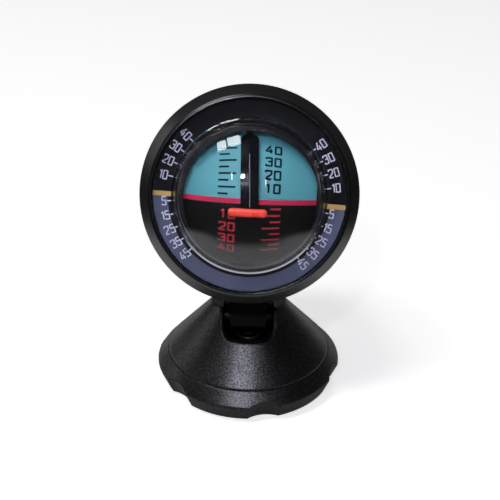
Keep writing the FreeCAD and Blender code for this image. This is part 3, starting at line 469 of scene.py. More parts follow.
def keep_side(bm, point, normal):
    """Cuts the mesh with a plane, keeps the side the normal points to and closes the cut."""
    cut = bmesh.ops.bisect_plane(
        bm,
        geom=bm.verts[:] + bm.edges[:] + bm.faces[:],
        dist=1e-5,
        plane_co=point,
        plane_no=normal,
        clear_inner=True,
    )
    rim = [g for g in cut["geom_cut"] if isinstance(g, bmesh.types.BMEdge)]
    bmesh.ops.holes_fill(bm, edges=rim, sides=0)
    return bm


def add_piece(name, bm, place, materials, body, slot, *nodes, smooth=35.0):
    """Makes the mesh a piece of the object that rides on a body and stands for CAD nodes."""
    bmesh.ops.transform(bm, matrix=place, verts=bm.verts)
    mesh = bpy.data.meshes.new(name)
    bm.to_mesh(mesh)
    bm.free()
    mesh.shade_smooth()
    mesh.set_sharp_from_angle(angle=math.radians(smooth))
    for material in materials:
        mesh.materials.append(material)
    piece = bpy.data.objects.new(name, mesh)
    bpy.context.scene.collection.objects.link(piece)
    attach(piece, body)
    if nodes:
        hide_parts(*nodes)
    return piece


# ---------------------------------------- print
# Digits as strokes on a cell 1 wide and 1 high. True closes a stroke.
DIGITS = {
    "0": [([(0, 0), (1, 0), (1, 1), (0, 1)], True)],
    "1": [([(0.2, 0.8), (0.62, 1), (0.62, 0)], False)],
    "2": [([(0, 0.8), (0, 1), (1, 1), (1, 0.58), (0, 0.1), (0, 0), (1, 0)], False)],
    "3": [
        ([(0, 0.8), (0, 1), (1, 1), (1, 0), (0, 0), (0, 0.2)], False),
        ([(1, 0.53), (0.35, 0.53)], False),
    ],
    "4": [
        ([(0.7, 1.04), (-0.06, 0.27), (1.06, 0.27)], False),
        ([(0.76, 0.62), (0.76, 0)], False),
    ],
    "5": [([(1, 1), (0, 1), (0, 0.57), (1, 0.57), (1, 0), (0, 0), (0, 0.16)], False)],
}
DIGIT_START = {"1": 0.2}
DIGIT_END = {"1": 0.62}


def number_strokes(text, width, height, gap, stroke, even=False):
    """Strokes of a number on a baseline at y = 0, from x = 0, and the number's whole width.

    Even digits all take the same width.
    """
    strokes = []
    x = 0.0
    for digit in text:
        start = 0.0 if even else DIGIT_START.get(digit, 0.0)
        end = 1.0 if even else DIGIT_END.get(digit, 1.0)
        for points, closed in DIGITS[digit]:
            line = [
                (
                    x + stroke / 2 + (u - start) * (width - stroke),
                    stroke / 2 + v * (height - stroke),
                )
                for u, v in points
            ]
            strokes.append((line, closed))
        x += (end - start) * (width - stroke) + stroke + gap
    return strokes, x - gap


def moved_strokes(strokes, matrix):
    """The strokes after a flat move and turn."""
    return [
        ([(matrix @ Vector((*point, 0))).to_2d() for point in line], closed)
        for line, closed in strokes
    ]


def ink(strokes, width, corner, lay):
    """Print as raised strokes: each line becomes a wall of that width, that lay puts in place."""
    bm = bmesh.new()
    for line, closed in strokes:
        verts = [bm.verts.new((*point, 0)) for point in line]
        for a, b in zip(verts, verts[1:] + verts[:1] if closed else verts[1:]):
            bm.edges.new((a, b))
    corners = [v for v in bm.verts if len(v.link_edges) == 2]
    if corners:
        bmesh.ops.bevel(
            bm,
            geom=corners,
            offset=corner,
            offset_type="OFFSET",
            segments=3,
            profile=0.5,
            affect="VERTICES",
            material=-1,
            clamp_overlap=True,
        )
    bmesh.ops.subdivide_edges(
        bm, edges=[e for e in bm.edges if e.calc_length() > INK_STEP], cuts=5, use_grid_fill=False
    )
    walls = bmesh.ops.extrude_edge_only(bm, edges=bm.edges[:])
    tops = [g for g in walls["geom"] if isinstance(g, bmesh.types.BMVert)]
    bmesh.ops.translate(bm, verts=tops, vec=(0, 0, INK_LIFT + INK_SINK))
    bmesh.ops.recalc_face_normals(bm, faces=bm.faces)
    mesh = bpy.data.meshes.new("ink")
    bm.to_mesh(mesh)
    bm.free()
    strip = bpy.data.objects.new("ink", mesh)
    bpy.context.scene.collection.objects.link(strip)
    wall = strip.modifiers.new("stroke", "SOLIDIFY")
    wall.thickness = width
    wall.offset = 0.0
    wall.use_even_offset = True
    graph = bpy.context.evaluated_depsgraph_get()
    solid = bpy.data.meshes.new_from_object(strip.evaluated_get(graph))
    bpy.data.objects.remove(strip)
    bpy.data.meshes.remove(mesh)
    for vertex in solid.vertices:
        vertex.co = lay(vertex.co)
    return solid


def add_ink(bm, solid, index):
    """Joins print to a mesh, on the material slot with that index."""
    for face in solid.polygons:
        face.material_index = index
    bm.from_mesh(solid)
    printed = [face for face in bm.faces if face.material_index == index]
    bmesh.ops.recalc_face_normals(bm, faces=printed)
    bpy.data.meshes.remove(solid)


# ---------------------------------------- sizes and colours to change
class InclinometerSizes(bpy.types.PropertyGroup):
    """Sizes of the print, the mesh and the stage."""

    dial_digit_height: FloatProperty(
        name="Dial Digit Height", description="Height of the numbers on the roll dial",
        default=0.0032, min=0.001, max=0.006, unit="LENGTH",
    )
    dial_digit_width: FloatProperty(
        name="Dial Digit Width", description="Width of a digit on the roll dial",
        default=0.0017, min=0.001, max=0.004, unit="LENGTH",
    )
    dial_stroke: FloatProperty(
        name="Dial Stroke", description="Width of the printed lines on the roll dial",
        default=0.00039, min=0.0002, max=0.001, unit="LENGTH",
    )
    drum_digit_height: FloatProperty(
        name="Drum Digit Height", description="Height of the numbers on the pitch drum",
        default=0.0035, min=0.001, max=0.006, unit="LENGTH",
    )
    drum_digit_width: FloatProperty(
        name="Drum Digit Width", description="Width of a digit on the pitch drum",
        default=0.00255, min=0.001, max=0.004, unit="LENGTH",
    )
    drum_stroke: FloatProperty(
        name="Drum Stroke", description="Width of the printed lines on the pitch drum",
        default=0.00066, min=0.0002, max=0.001, unit="LENGTH",
    )
    ring_steps: IntProperty(
        name="Ring Steps", description="Number of steps round each turned piece",
        default=192, min=48, max=360,
    )
    floor_radius: FloatProperty(
        name="Floor Radius", description="Radius of the pale floor",
        default=3.0, min=0.5, max=10.0, unit="LENGTH",
    )


class InclinometerColours(bpy.types.PropertyGroup):
    """Colours of the finishes."""

    black: FloatVectorProperty(
        name="Black", description="Satin black of the housing and the stand",
        default=srgb("#0f0f11"), min=0, max=1, subtype="COLOR",
    )
    gloss_black: FloatVectorProperty(
        name="Gloss Black", description="Blue-black of the bar over the drum",
        default=srgb("#08080f"), min=0, max=1, subtype="COLOR",
    )
    teal: FloatVectorProperty(
        name="Teal", description="Upper half of the pitch drum",
        default=srgb("#5aa4ae"), min=0, max=1, subtype="COLOR",
    )
    drum_black: FloatVectorProperty(
        name="Drum Black", description="Lower half of the pitch drum",
        default=srgb("#0c0d0c"), min=0, max=1, subtype="COLOR",
    )
    crimson: FloatVectorProperty(
        name="Crimson", description="Horizon line of the pitch drum",
        default=srgb("#c4274f"), min=0, max=1, subtype="COLOR",
    )
    scale_red: FloatVectorProperty(
        name="Scale Red", description="Numbers and lines on the drum's black half",
        default=srgb("#b8323f"), min=0, max=1, subtype="COLOR",
    )
    scale_navy: FloatVectorProperty(
        name="Scale Navy", description="Numbers and lines on the drum's teal half",
        default=srgb("#0a1e2c"), min=0, max=1, subtype="COLOR",
    )
    pointer_red: FloatVectorProperty(
        name="Pointer Red", description="The pointer",
        default=srgb("#f4452f"), min=0, max=1, subtype="COLOR",
    )
    dial_dark: FloatVectorProperty(
        name="Dial Dark", description="Upper half of the roll dial",
        default=srgb("#07090f"), min=0, max=1, subtype="COLOR",
    )
    dial_slate: FloatVectorProperty(
        name="Dial Slate", description="Lower half of the roll dial",
        default=srgb("#454a60"), min=0, max=1, subtype="COLOR",
    )
    dial_ink: FloatVectorProperty(
        name="Dial Ink", description="Numbers and lines on the roll dial",
        default=srgb("#c9cadd"), min=0, max=1, subtype="COLOR",
    )
    gold: FloatVectorProperty(
        name="Gold", description="The two level marks on the roll dial",
        default=srgb("#b48f48"), min=0, max=1, subtype="COLOR",
    )
    floor: FloatVectorProperty(
        name="Floor", description="The pale floor",
        default=srgb("#f4f4f4"), min=0, max=1, subtype="COLOR",
    )


# ---------------------------------------- pieces
class INCLINOMETER_OT_bezel(bpy.types.Operator):
    """Make the flared ring that holds the lens"""

    bl_idname = "inclinometer.bezel"
    bl_label = "Front Bezel"

    def execute(self, context):
        sizes = context.scene.inclinometer_sizes
        colours = context.scene.inclinometer_colours
        section = [
            (LIP_R, 0.0),
            (LIP_R, LIP_H, 0.25),
            (LIP_R + CROWN_W, LIP_H - CROWN_DROP, 0.3),
            (LIP_R + SHOULDER_W, LIP_H - SHOULDER_DROP, 0.4),
            (BEZEL_R - BEZEL_LAND / 4, BEZEL_WIDEST_Z + BEZEL_LAND / 2, 0.5),
            (BEZEL_R, BEZEL_WIDEST_Z, 0.4),
            (BEZEL_R, BEZEL_WIDEST_Z - BEZEL_LAND, 0.4),
            (BEZEL_R - BEZEL_TAPER, -BEZEL_LEN, 0.45),
            (BEZEL_BORE_R, -BEZEL_LEN, 0.3),
            (BEZEL_BORE_R, -LENS_T - LENS_SEAT),
            (LENS_R + LENS_FIT, -LENS_T - LENS_SEAT),
            (LENS_R + LENS_FIT, 0.0),
        ]
        bm = spun(section, sizes.ring_steps)
        for face in bm.faces:
            middle = face.calc_center_median()
            if math.hypot(middle.x, middle.y) < LIP_R + POLISH_W and middle.z > 0:
                face.material_index = 1
        black = tuple(colours.black)
        # The flare comes from an eroded tool and has a wide, soft shine.
        satin = moulded_plastic("satin_black_abs", black, 0.36, shine=0.95)
        # The lip comes from a polished one and draws the lamps as thin arcs.
        polished = moulded_plastic("polished_black_abs", black, 0.24, 0.5, 0.002, shine=0.8)
        finishes = [satin, polished]
        add_piece(
            "bezel_ring", bm, head_place(), finishes, "head", "bezel_plastic", "front_bezel"
        )
        return {"FINISHED"}


class INCLINOMETER_OT_lens(bpy.types.Operator):
    """Make the clear moulding: a flat ring over the roll dial and a dome over the drum"""

    bl_idname = "inclinometer.lens"
    bl_label = "Lens"

    def execute(self, context):
        sizes = context.scene.inclinometer_sizes
        foot_out = DOME_FOOT_R + DOME_T
        shoulder_out = foot_out - DOME_DRAFT
        shoulder_in = shoulder_out - DOME_T
        shoulder_in_z = DOME_SHOULDER_Z - DOME_T / 2
        rise = DOME_APEX_Z - DOME_SHOULDER_Z
        cap_r = (shoulder_out**2 + rise**2) / (2 * rise)
        rise_in = DOME_APEX_Z - DOME_T - shoulder_in_z
        cap_in_r = (shoulder_in**2 + rise_in**2) / (2 * rise_in)
        inner_start = math.degrees(math.acos(shoulder_in / cap_in_r))
        outer_start = math.degrees(math.acos(shoulder_out / cap_r))
        inner_centre = (0, DOME_APEX_Z - DOME_T - cap_in_r)
        inner = arc(inner_centre, cap_in_r, 90, inner_start, DOME_INNER_STEPS)
        outer = arc((0, DOME_APEX_Z - cap_r), cap_r, outer_start, 90, DOME_OUTER_STEPS)
        section = inner[:-1] + [(shoulder_in, shoulder_in_z, 0.3)]
        section += [
            (DOME_FOOT_R, 0.0, 0.3),
            (DOME_FOOT_R, -LENS_T),
            (LENS_R, -LENS_T, 0.1),
            (LENS_R, 0.0, LENS_EDGE),
            (LENS_R - LENS_EDGE - 0.1, 0.0),
            (foot_out, 0.0),
            (foot_out - CHAMFER_W, CHAMFER_H),
            (shoulder_out, DOME_SHOULDER_Z, 0.6),
        ]
        section += outer[1:]
        bm = spun(section, sizes.ring_steps, closed=False)
        for face in bm.faces:
            middle = face.calc_center_median()
            radius = math.hypot(middle.x, middle.y)
            in_chamfer = foot_out - CHAMFER_W < radius < foot_out and 0 < middle.z < CHAMFER_H
            if in_chamfer and middle.y < -CHAMFER_TOP:
                face.material_index = 1
        # Light is totally reflected inside the chamfer, and the eye sees a bright silver line. Its
        # lower part is drawn as an opaque silver mirror instead, a painted reflection of that
        # light.
        mirror = worked_metal("painted_glint_edge", srgb("#c4c4c8"), 0.12)
        finishes = [clear_acrylic("clear_acrylic"), mirror]
        lens = add_piece(
            "dome_lens", bm, head_place(), finishes, "head", "lens_clear", "lens", smooth=20.0
        )
        # The lamps shine through the clear lens as if it weren't there.
        lens.visible_shadow = False
        return {"FINISHED"}


class INCLINOMETER_OT_drum(bpy.types.Operator):
    """Make the pitch drum's two half shells with their scales, and the crimson horizon"""

    bl_idname = "inclinometer.drum"
    bl_label = "Pitch Drum"

    def shell(self, steps):
        """The whole barrel wall about X."""
        centre = DRUM_R - DRUM_BULGE_R
        lean = math.degrees(math.asin(DRUM_HALF_W / DRUM_BULGE_R))
        inner_lean = math.degrees(math.asin(DRUM_HALF_W / (DRUM_BULGE_R - DRUM_WALL)))
        inner_r = DRUM_BULGE_R - DRUM_WALL
        outer = arc((centre, 0), DRUM_BULGE_R, -lean, lean, DRUM_OUTER_STEPS)
        inner = arc((centre, 0), inner_r, inner_lean, -inner_lean, DRUM_INNER_STEPS)
        bm = spun(outer + inner, steps)
        turn = Matrix.Rotation(math.radians(90), 3, "Y")
        bmesh.ops.rotate(bm, verts=bm.verts, cent=(0, 0, 0), matrix=turn)
        return bm

    def lay(self, point):
        """From the flat print, x along the axle and y round the drum, to the barrel."""
        surface_r = DRUM_R - DRUM_BULGE_R + math.sqrt(DRUM_BULGE_R**2 - point.x**2)
        radius = surface_r - INK_SINK + point.z
        angle = point.y / DRUM_R
        return Vector((point.x, radius * math.sin(angle), radius * math.cos(angle)))

    def execute(self, context):
        sizes = context.scene.inclinometer_sizes
        colours = context.scene.inclinometer_colours
        width = sizes.drum_digit_width / MM
        height = sizes.drum_digit_height / MM
        stroke = sizes.drum_stroke / MM
        half = HORIZON_T / 2
        row = DRUM_R * math.radians(DRUM_ROW)
        # Drum polystyrene is almost smooth, with a low, even shine, and pad print is matter yet.
        moulded = {"grain_mm": 0.5, "depth_mm": 0.004}
        printed = {"grain_mm": 0.3, "depth_mm": 0.002}
        for upper in (True, False):
            side = 1 if upper else -1
            number_x, long_line, short_line = DRUM_PRINT[upper]
            strokes = []
            for index in range(1, 5):
                y = side * row * index
                number, long = number_strokes(
                    str(index * 10), width, height, DRUM_DIGIT_GAP, stroke, even=True
                )
                x = number_x if upper else number_x - long
                strokes += moved_strokes(number, Matrix.Translation((x, y - height / 2, 0)))
                strokes.append(([(x, y) for x in long_line], False))
                strokes.append(([(x, y - side * row / 2) for x in short_line], False))
            bm = keep_side(self.shell(sizes.ring_steps), (0, side * half, 0), (0, side, 0))
            add_ink(bm, ink(strokes, stroke, DRUM_INK_CORNER, self.lay), 1)
            if upper:
                plastic = moulded_plastic(
                    "teal_polystyrene", tuple(colours.teal), 0.5, tint=0.03, shine=0.25, **moulded
                )
                ink_finish = moulded_plastic(
                    "navy_print", tuple(colours.scale_navy), 0.6, shine=0.05, **printed
                )
            else:
                plastic = moulded_plastic(
                    "black_polystyrene", tuple(colours.drum_black), 0.5, shine=0.15, **moulded
                )
                ink_finish = moulded_plastic(
                    "red_print", tuple(colours.scale_red), 0.5, tint=0.1, shine=0.2, **printed
                )
            add_piece(
                "drum_teal_half" if upper else "drum_black_half",
                bm,
                drum_place(),
                [plastic, ink_finish],
                "pitch_drum",
                "drum_teal" if upper else "drum_black",
                "drum_upper_shell" if upper else "drum_lower_shell",
            )
        bm = keep_side(self.shell(sizes.ring_steps), (0, -half, 0), (0, 1, 0))
        keep_side(bm, (0, half, 0), (0, -1, 0))
        crimson = moulded_plastic(
            "crimson_polystyrene", tuple(colours.crimson), 0.5, tint=0.05, shine=0.25, **moulded
        )
        add_piece(
            "drum_horizon",
            bm,
            drum_place(),
            [crimson],
            "pitch_drum",
            "horizon_crimson",
            "horizon_band",
        )
        return {"FINISHED"}


class INCLINOMETER_OT_dial(bpy.types.Operator):
    """Make the roll dial's two printed halves"""

    bl_idname = "inclinometer.dial"
    bl_label = "Roll Dial"

    def lay(self, point):
        """From the flat print to the front of the ring."""
        return Vector((point.x, point.y, DIAL_Z - INK_SINK + point.z))

    def execute(self, context):
        sizes = context.scene.inclinometer_sizes
        colours = context.scene.inclinometer_colours
        width = sizes.dial_digit_width / MM
        height = sizes.dial_digit_height / MM
        stroke = sizes.dial_stroke / MM
        section = [
            (DIAL_INNER_R, DIAL_Z, DIAL_EDGE),
            (DIAL_INNER_R, DIAL_Z - DIAL_T),
            (DIAL_OUTER_R, DIAL_Z - DIAL_T),
            (DIAL_OUTER_R, DIAL_Z, DIAL_EDGE),
            (FILM_OUTER_R, DIAL_Z),
            (FILM_INNER_R, DIAL_Z),
        ]
        for upper in (True, False):
            side = 1 if upper else -1
            values, number_r = DIAL_PRINT[upper]
            low = 0 if upper else LEVEL_DROP
            drop = Matrix.Translation((DIAL_PRINT_X, -low, 0))
            strokes = []
            for value in values:
                number, long = number_strokes(str(value), width, height, DIAL_DIGIT_GAP, stroke)
                tick_start = DIAL_INNER_R + TICK_FOOT + low * math.sin(math.radians(-value))
                tick_end = number_r - long / 2 - TICK_GAP
                for right in (True, False):
                    angle = side * value if right else 180 - side * value
                    turn = drop @ Matrix.Rotation(math.radians(angle), 4, "Z")
                    strokes += moved_strokes([([(tick_start, 0), (tick_end, 0)], False)], turn)
                    start = Matrix.Translation((number_r, 0, 0))
                    if not right:
                        start = start @ Matrix.Rotation(math.pi, 4, "Z")
                    middle = Matrix.Translation((-long / 2, -height / 2, 0))
                    strokes += moved_strokes(number, turn @ start @ middle)
            ring = spun(section, sizes.ring_steps)
            bm = keep_side(ring, (0, -LEVEL_DROP, 0), (0, side, 0))
            for face in bm.faces:
                middle = face.calc_center_median()
                if not FILM_INNER_R < math.hypot(middle.x, middle.y) < FILM_OUTER_R:
                    face.material_index = 2
            add_ink(bm, ink(strokes, stroke, DIAL_INK_CORNER, self.lay), 1)
            # Screen-printed film is flat and matt, and its light print stands out from it.
            if upper:
                film = moulded_plastic(
                    "midnight_film", tuple(colours.dial_dark), 0.6, 0.3, 0.003, shine=0.05
                )
            else:
                film = moulded_plastic(
                    "slate_film", tuple(colours.dial_slate), 0.6, 0.3, 0.003, tint=0.05, shine=0.2
                )
            border = moulded_plastic("black_border", srgb("#050509"), 0.6, 0.3, 0.002, shine=0.1)
            print_finish = moulded_plastic(
                "lilac_print", tuple(colours.dial_ink), 0.6, 0.3, 0.002, tint=0.04, shine=0.2
            )
            add_piece(
                "dial_midnight_half" if upper else "dial_slate_half",
                bm,
                dial_place(),
                [film, print_finish, border],
                "roll_dial",
                "dial_black" if upper else "dial_slate",
                "dial_face_upper" if upper else "dial_face_lower",
            )
        return {"FINISHED"}


class INCLINOMETER_OT_bar(bpy.types.Operator):
    """Make the bar over the drum, with a fine light line painted along its ridge as its sheen"""

    bl_idname = "inclinometer.bar"
    bl_label = "Bar"

    def execute(self, context):
        colours = context.scene.inclinometer_colours
        node = frame["nodes"]["pointer_arm"]
        place = window_place()
        bm = bmesh.new()
        bm.from_mesh(node.data)
        bmesh.ops.transform(bm, matrix=place.inverted() @ node.matrix_world, verts=bm.verts)
        for face in bm.faces:
            face.material_index = 0
        surface = BVHTree.FromBMesh(bm)
        rows = []
        y = LINE_START
        while y < LINE_END:
            middle = LINE_X - LINE_LEAN * y
            top = surface.ray_cast(Vector((middle, y, ABOVE_HEAD)), Vector((0.0, 0.0, -1.0)))[0].z
            rows.append([bm.verts.new((middle + x, y, top + z)) for x, z in LINE_SECTION])
            y += LINE_STEP
        new_faces = [bm.faces.new(rows[0]), bm.faces.new(rows[-1])]
        for low, high in zip(rows, rows[1:]):
            for i in range(len(LINE_SECTION)):
                j = (i + 1) % len(LINE_SECTION)
                new_faces.append(bm.faces.new((low[i], low[j], high[j], high[i])))
        for face in new_faces:
            face.material_index = 1
        bmesh.ops.recalc_face_normals(bm, faces=new_faces)
        # Polished ABS: a dark mirror with clear highlights. The line is a painted sheen: a light
        # lilac strip that stands for the highlight along its ridge.
        gloss = moulded_plastic(
            "gloss_blue_black_abs", tuple(colours.gloss_black), 0.14, 0.5, 0.001, shine=0.35
        )
        line = moulded_plastic("painted_ridge_sheen", srgb("#83819a"), 0.3, 0.3, 0.002)
        add_piece("pointer_bar", bm, place, [gloss, line], "head", "arm_plastic", "pointer_arm")
        return {"FINISHED"}


class INCLINOMETER_OT_fittings(bpy.types.Operator):
    """Give every piece that keeps its solid shape its finish"""

    bl_idname = "inclinometer.fittings"
    bl_label = "Finishes of the Other Pieces"

    def execute(self, context):
        colours = context.scene.inclinometer_colours
        black = tuple(colours.black)
        red = tuple(colours.pointer_red)
        gold = tuple(colours.gold)
        # The stand's tool was eroded deeply, so a coarse grain glitters in its shine.
        stand = moulded_plastic(
            "coarse_black_abs", black, 0.32, 0.55, 0.09, shine=0.55, edge_mm=1.0, sparkle=0.5
        )
        # The head's grain is finer and duller. The neck is drawn darker than the black and almost
        # without shine, a painted shade for the shadow it lies in under the head.
        head = moulded_plastic("fine_black_abs", black, 0.4, shine=0.4, edge_mm=0.6)
        neck = moulded_plastic(
            "painted_shade_black_abs", srgb("#070708"), 0.55, 0.5, 0.03, shine=0.15, edge_mm=0.6
        )
        # Polished tools give the frame and the pointer clear highlights.
        window = moulded_plastic("gloss_black_abs", srgb("#101014"), 0.22, 0.3, 0.002)
        pointer = moulded_plastic("gloss_red_abs", red, 0.28, 0.4, 0.002, tint=0.03)
        # Moulded nylon looks waxy: a soft highlight on a smooth skin.
        nylon = moulded_plastic("dark_nylon", srgb("#202022"), 0.5, 0.4, 0.006)
        # Bronze-powder ink is a warm, silky gold without a mirror's shine.
        marks = moulded_plastic("gold_print", gold, 0.42, 0.25, 0.003, tint=0.08)
        # Rubber and foam take in the light and stay matt.
        rubber = moulded_plastic("black_rubber", srgb("#141414"), 0.7, 0.25, 0.01)
        foam = moulded_plastic("black_foam", srgb("#19191a"), 0.85, 0.6, 0.05)
        pale = moulded_plastic("white_nylon", srgb("#e2ded2"), 0.4, 0.4, 0.004, tint=0.03)
        # Zinc plate is pale grey with a blurred shine, and black oxide dark with a dull sheen.
        zinc = worked_metal("zinc_plated_steel", srgb("#b9bcc0"), 0.3)
        oxide = worked_metal("black_oxide_steel", srgb("#161618"), 0.45)
        # Turned brass is bright yellow and fairly sharp in its shine.
        brass = worked_metal("turned_brass", srgb("#d0a552"), 0.26)
        finishes = {
            stand: ("turret_shell", "base_ring", "base_plate"),
            head: ("rear_housing",),
            neck: ("neck_bracket",),
            window: ("drum_frame",),
            pointer: ("pointer",),
            nylon: ("drum_end_caps", "dial_cup", "friction_washers", "swivel_washer"),
            marks: ("dial_index_marks",),
            rubber: ("lens_seal",),
            foam: ("adhesive_pad",),
            pale: ("spindle_washer",),
            zinc: (
                "drum_weight", "drum_weight_screws", "drum_axle", "dial_weight",
                "dial_weight_screws", "dial_spindle", "spindle_clip", "spring_washer",
            ),
            oxide: (
                "hinge_yoke", "yoke_screws", "hinge_pin", "hinge_nut", "neck_screws",
                "base_screws", "swivel_screw",
            ),
            brass: ("drum_bushes", "dial_bush"),
        }
        for material, names in finishes.items():
            for name in names:
                node = frame["nodes"][name]
                node.data.materials.clear()
                node.data.materials.append(material)
        return {"FINISHED"}


class INCLINOMETER_OT_stage(bpy.types.Operator):
    """Set the floor, the lamps, the world and the camera"""

    bl_idname = "inclinometer.stage"
    bl_label = "Stage"

    def past_table(self, tree, place):
        """How much of the dim room or of the painted shadow a mirrored ray sees at a place on the
        floor, from 0 to 1.
        """
        point = place
        for operation, other in (
            ("SUBTRACT", TABLE_MIDDLE),
            ("ABSOLUTE", None),
            ("SUBTRACT", TABLE_HALF),
            ("MAXIMUM", (0.0, 0.0, 0.0)),
        ):
            inputs = {0: point, 1: other} if other else {0: point}
            point = add_node(tree, "ShaderNodeVectorMath", inputs, operation=operation).outputs[0]
        past = add_node(tree, "ShaderNodeVectorMath", {0: point}, operation="LENGTH")
        room = add_node(
            tree,
            "ShaderNodeMapRange",
            {
                "Value": past.outputs["Value"],
                "From Min": TABLE_FADE[0],
                "From Max": TABLE_FADE[1],
            },
            interpolation_type="SMOOTHSTEP",
        )
        # Painted shadow: close round the base and straight behind it, mirrored rays see the floor
        # darkened towards the dim room.
        front = add_node(tree, "ShaderNodeVectorMath", {0: place, 1: SHADOW_BEHIND}, operation="MINIMUM")
        near = add_node(tree, "ShaderNodeVectorMath", {0: front.outputs[0]}, operation="LENGTH")
        shade = add_node(
            tree,
            "ShaderNodeMapRange",
            {
                "Value": near.outputs["Value"],
                "From Min": PAINTED_SHADOW_FADE[0],
                "From Max": PAINTED_SHADOW_FADE[1],
                "To Min": PAINTED_SHADOW_DEPTH,
                "To Max": 0.0,
            },
        )
        room_or_shadow = {0: room.outputs[0], 1: shade.outputs[0]}
        return add_node(tree, "ShaderNodeMath", room_or_shadow, operation="MAXIMUM")

    def floor(self, context):
        """A white table top. Beyond its edges, reflections see only the dark room, and close round
        the base they see a painted shadow.
        """
        sizes = context.scene.inclinometer_sizes
        colours = context.scene.inclinometer_colours
        bm = bmesh.new()
        bmesh.ops.create_circle(bm, cap_ends=True, segments=96, radius=sizes.floor_radius)
        bmesh.ops.translate(bm, verts=bm.verts, vec=(0, 0, FLOOR_Z))
        mesh = bpy.data.meshes.new("floor")
        bm.to_mesh(mesh)
        bm.free()
        # Uncoated paper: white and matt, with a faint mottle that keeps it from looking flat.
        material, tree = new_material("matt_white_paper")
        place = add_node(tree, "ShaderNodeTexCoord").outputs["Object"]
        mottle = add_node(
            tree,
            "ShaderNodeTexNoise",
            {"Vector": place, "Scale": MOTTLE_PER_METRE, "Detail": 3.0},
        )
        pale = tuple(colours.floor)
        shade = add_node(
            tree,
            "ShaderNodeMix",
            {0: mottle.outputs["Fac"], 6: (*[c * 0.985 for c in pale], 1), 7: (*pale, 1)},
            data_type="RGBA",
        )
        ray = add_node(tree, "ShaderNodeLightPath").outputs
        mirrored = add_node(
            tree,
            "ShaderNodeMath",
            {0: ray["Is Glossy Ray"], 1: ray["Is Transmission Ray"]},
            operation="MAXIMUM",
        ).outputs[0]
        seen = add_node(
            tree, "ShaderNodeMath", {0: ray["Is Camera Ray"], 1: mirrored}, operation="MAXIMUM"
        )
        level = add_node(
            tree,
            "ShaderNodeMapRange",
            {"Value": mirrored, "To Min": FLOOR_GLOW, "To Max": MIRRORED_GLOW},
        )
        glow = add_node(
            tree, "ShaderNodeMath", {0: seen.outputs[0], 1: level.outputs[0]}, operation="MULTIPLY"
        )
        paper = add_node(
            tree,
            "ShaderNodeBsdfPrincipled",
            {
                "Base Color": shade.outputs[2],
                "Roughness": 0.9,
                "Specular IOR Level": 0.2,
                "Emission Color": (1, 1, 1, 1),
                "Emission Strength": glow.outputs[0],
            },
        )
        past = self.past_table(tree, place)
        edge = add_node(
            tree, "ShaderNodeMath", {0: past.outputs[0], 1: mirrored}, operation="MULTIPLY"
        )
        room = add_node(
            tree, "ShaderNodeEmission", {"Color": (1, 1, 1, 1), "Strength": ROOM_FRONT}
        )
        shader = add_node(
            tree,
            "ShaderNodeMixShader",
            {0: edge.outputs[0], 1: paper.outputs[0], 2: room.outputs[0]},
        )
        close_material(tree, shader)
        mesh.materials.append(material)
        floor = bpy.data.objects.new("floor", mesh)
        context.scene.collection.objects.link(floor)

    def lamp(
        self, context, name, toward, distance, size, radiance,
        roll=0.0, shape="RECTANGLE", colour=(1, 1, 1),
    ):
        """A flat lamp that shines on the head from a direction, level but for its roll."""
        light = bpy.data.lights.new(name, "AREA")
        light.shape = shape
        light.size, light.size_y = size
        area = size[0] * size[1] * (math.pi / 4 if shape == "ELLIPSE" else 1)
        light.energy = radiance * math.pi * area
        light.color = colour
        lamp = bpy.data.objects.new(name, light)
        context.scene.collection.objects.link(lamp)
        out = Vector(toward).normalized()
        level = Vector((1, 0, 0)) - out * out.x
        level.normalize()
        axes = Matrix((level, out.cross(level), out)).transposed().to_4x4()
        place = Matrix.Translation(HEAD_MIDDLE + distance * out) @ axes
        lamp.matrix_world = place @ Matrix.Rotation(math.radians(roll), 4, "Z")
        lamp.visible_camera = False
        lamp.visible_transmission = False
        return lamp

    def world(self, context):
        """A dim room, a little lighter behind the object, that the camera sees as a white wall.

        Through the clear dome the wall shows only low down and away from the front.
        """
        world = bpy.data.worlds.new("studio")
        context.scene.world = world
        world.use_nodes = True
        tree = world.node_tree
        tree.nodes.clear()
        place = add_node(tree, "ShaderNodeTexCoord")
        axes = add_node(tree, "ShaderNodeSeparateXYZ", {"Vector": place.outputs["Generated"]})
        back = add_node(
            tree,
            "ShaderNodeMapRange",
            {
                "Value": axes.outputs["Y"],
                "From Min": ROOM_FADE[0],
                "From Max": ROOM_FADE[1],
                "To Min": ROOM_FRONT,
                "To Max": ROOM_BACK,
            },
            interpolation_type="SMOOTHSTEP",
        )
        ray = add_node(tree, "ShaderNodeLightPath").outputs
        low = add_node(
            tree,
            "ShaderNodeMapRange",
            {
                "Value": axes.outputs["Z"],
                "From Min": WALL_LOW[0],
                "From Max": WALL_LOW[1],
                "To Min": WALL_GLOW,
                "To Max": 0.0,
            },
        )
        away = add_node(
            tree,
            "ShaderNodeMapRange",
            {"Value": axes.outputs["Y"], "From Min": WALL_AWAY[0], "From Max": WALL_AWAY[1]},
        )
        level = ray["Is Transmission Ray"]
        for operation, other in (
            ("MULTIPLY", low.outputs[0]),
            ("MULTIPLY", away.outputs[0]),
            ("MAXIMUM", ray["Is Camera Ray"]),
            ("MAXIMUM", back.outputs[0]),
        ):
            inputs = {0: level, 1: other}
            level = add_node(tree, "ShaderNodeMath", inputs, operation=operation).outputs[0]
        shader = add_node(
            tree, "ShaderNodeBackground", {"Color": (1.0, 1.0, 1.0, 1), "Strength": level}
        )
        add_node(tree, "ShaderNodeOutputWorld", {"Surface": shader.outputs[0]})

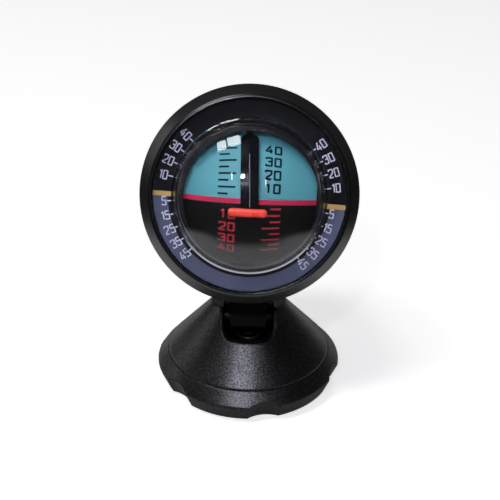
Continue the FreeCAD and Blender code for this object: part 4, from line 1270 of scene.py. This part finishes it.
    def camera(self, context):
        """Looks down at the dial from the front."""
        lens = bpy.data.cameras.new("camera")
        lens.lens = CAMERA_LENS
        lens.sensor_width = 36.0
        lens.shift_y = CAMERA_SHIFT
        lens.clip_start = 0.01
        camera = bpy.data.objects.new("camera", lens)
        context.scene.collection.objects.link(camera)
        elevation = math.radians(CAMERA_ELEVATION)
        back = Vector((0, -math.cos(elevation), math.sin(elevation)))
        camera.location = CAMERA_TARGET * MM + CAMERA_DISTANCE * MM * back
        look = (-back).to_track_quat("-Z", "Y").to_matrix().to_4x4()
        roll = Matrix.Rotation(math.radians(CAMERA_ROLL), 4, "Z")
        camera.rotation_euler = (look @ roll).to_euler()
        context.scene.camera = camera

    def execute(self, context):
        self.floor(context)
        self.world(context)
        for lamp in LAMPS:
            self.lamp(context, *lamp)
        self.lamp(context, *FLASH, shape="ELLIPSE", colour=FLASH_COLOUR)
        glint = self.lamp(context, *FLASH_GLINT, shape="ELLIPSE", colour=FLASH_COLOUR)
        glint.visible_diffuse = False
        self.camera(context)
        context.scene.view_settings.view_transform = "Standard"
        return {"FINISHED"}


OPERATORS = (
    INCLINOMETER_OT_bezel,
    INCLINOMETER_OT_lens,
    INCLINOMETER_OT_drum,
    INCLINOMETER_OT_dial,
    INCLINOMETER_OT_bar,
    INCLINOMETER_OT_fittings,
    INCLINOMETER_OT_stage,
)


class INCLINOMETER_PT_panel(bpy.types.Panel):
    """Lists the pieces, their sizes and their colours"""

    bl_idname = "INCLINOMETER_PT_panel"
    bl_label = "Inclinometer"
    bl_space_type = "VIEW_3D"
    bl_region_type = "UI"
    bl_category = "Inclinometer"

    def draw(self, context):
        column = self.layout.column()
        for operator in OPERATORS:
            column.operator(operator.bl_idname)
        for group in (context.scene.inclinometer_sizes, context.scene.inclinometer_colours):
            for name in group.__annotations__:
                column.prop(group, name)


CLASSES = (InclinometerSizes, InclinometerColours, *OPERATORS, INCLINOMETER_PT_panel)


def register():
    for cls in CLASSES:
        bpy.utils.register_class(cls)
    bpy.types.Scene.inclinometer_sizes = PointerProperty(type=InclinometerSizes)
    bpy.types.Scene.inclinometer_colours = PointerProperty(type=InclinometerColours)


def unregister():
    del bpy.types.Scene.inclinometer_colours
    del bpy.types.Scene.inclinometer_sizes
    for cls in reversed(CLASSES):
        bpy.utils.unregister_class(cls)


def main():
    register()
    for operator in OPERATORS:
        group, name = operator.bl_idname.split(".")
        getattr(getattr(bpy.ops, group), name)()


if __name__ == "__main__":
    main()
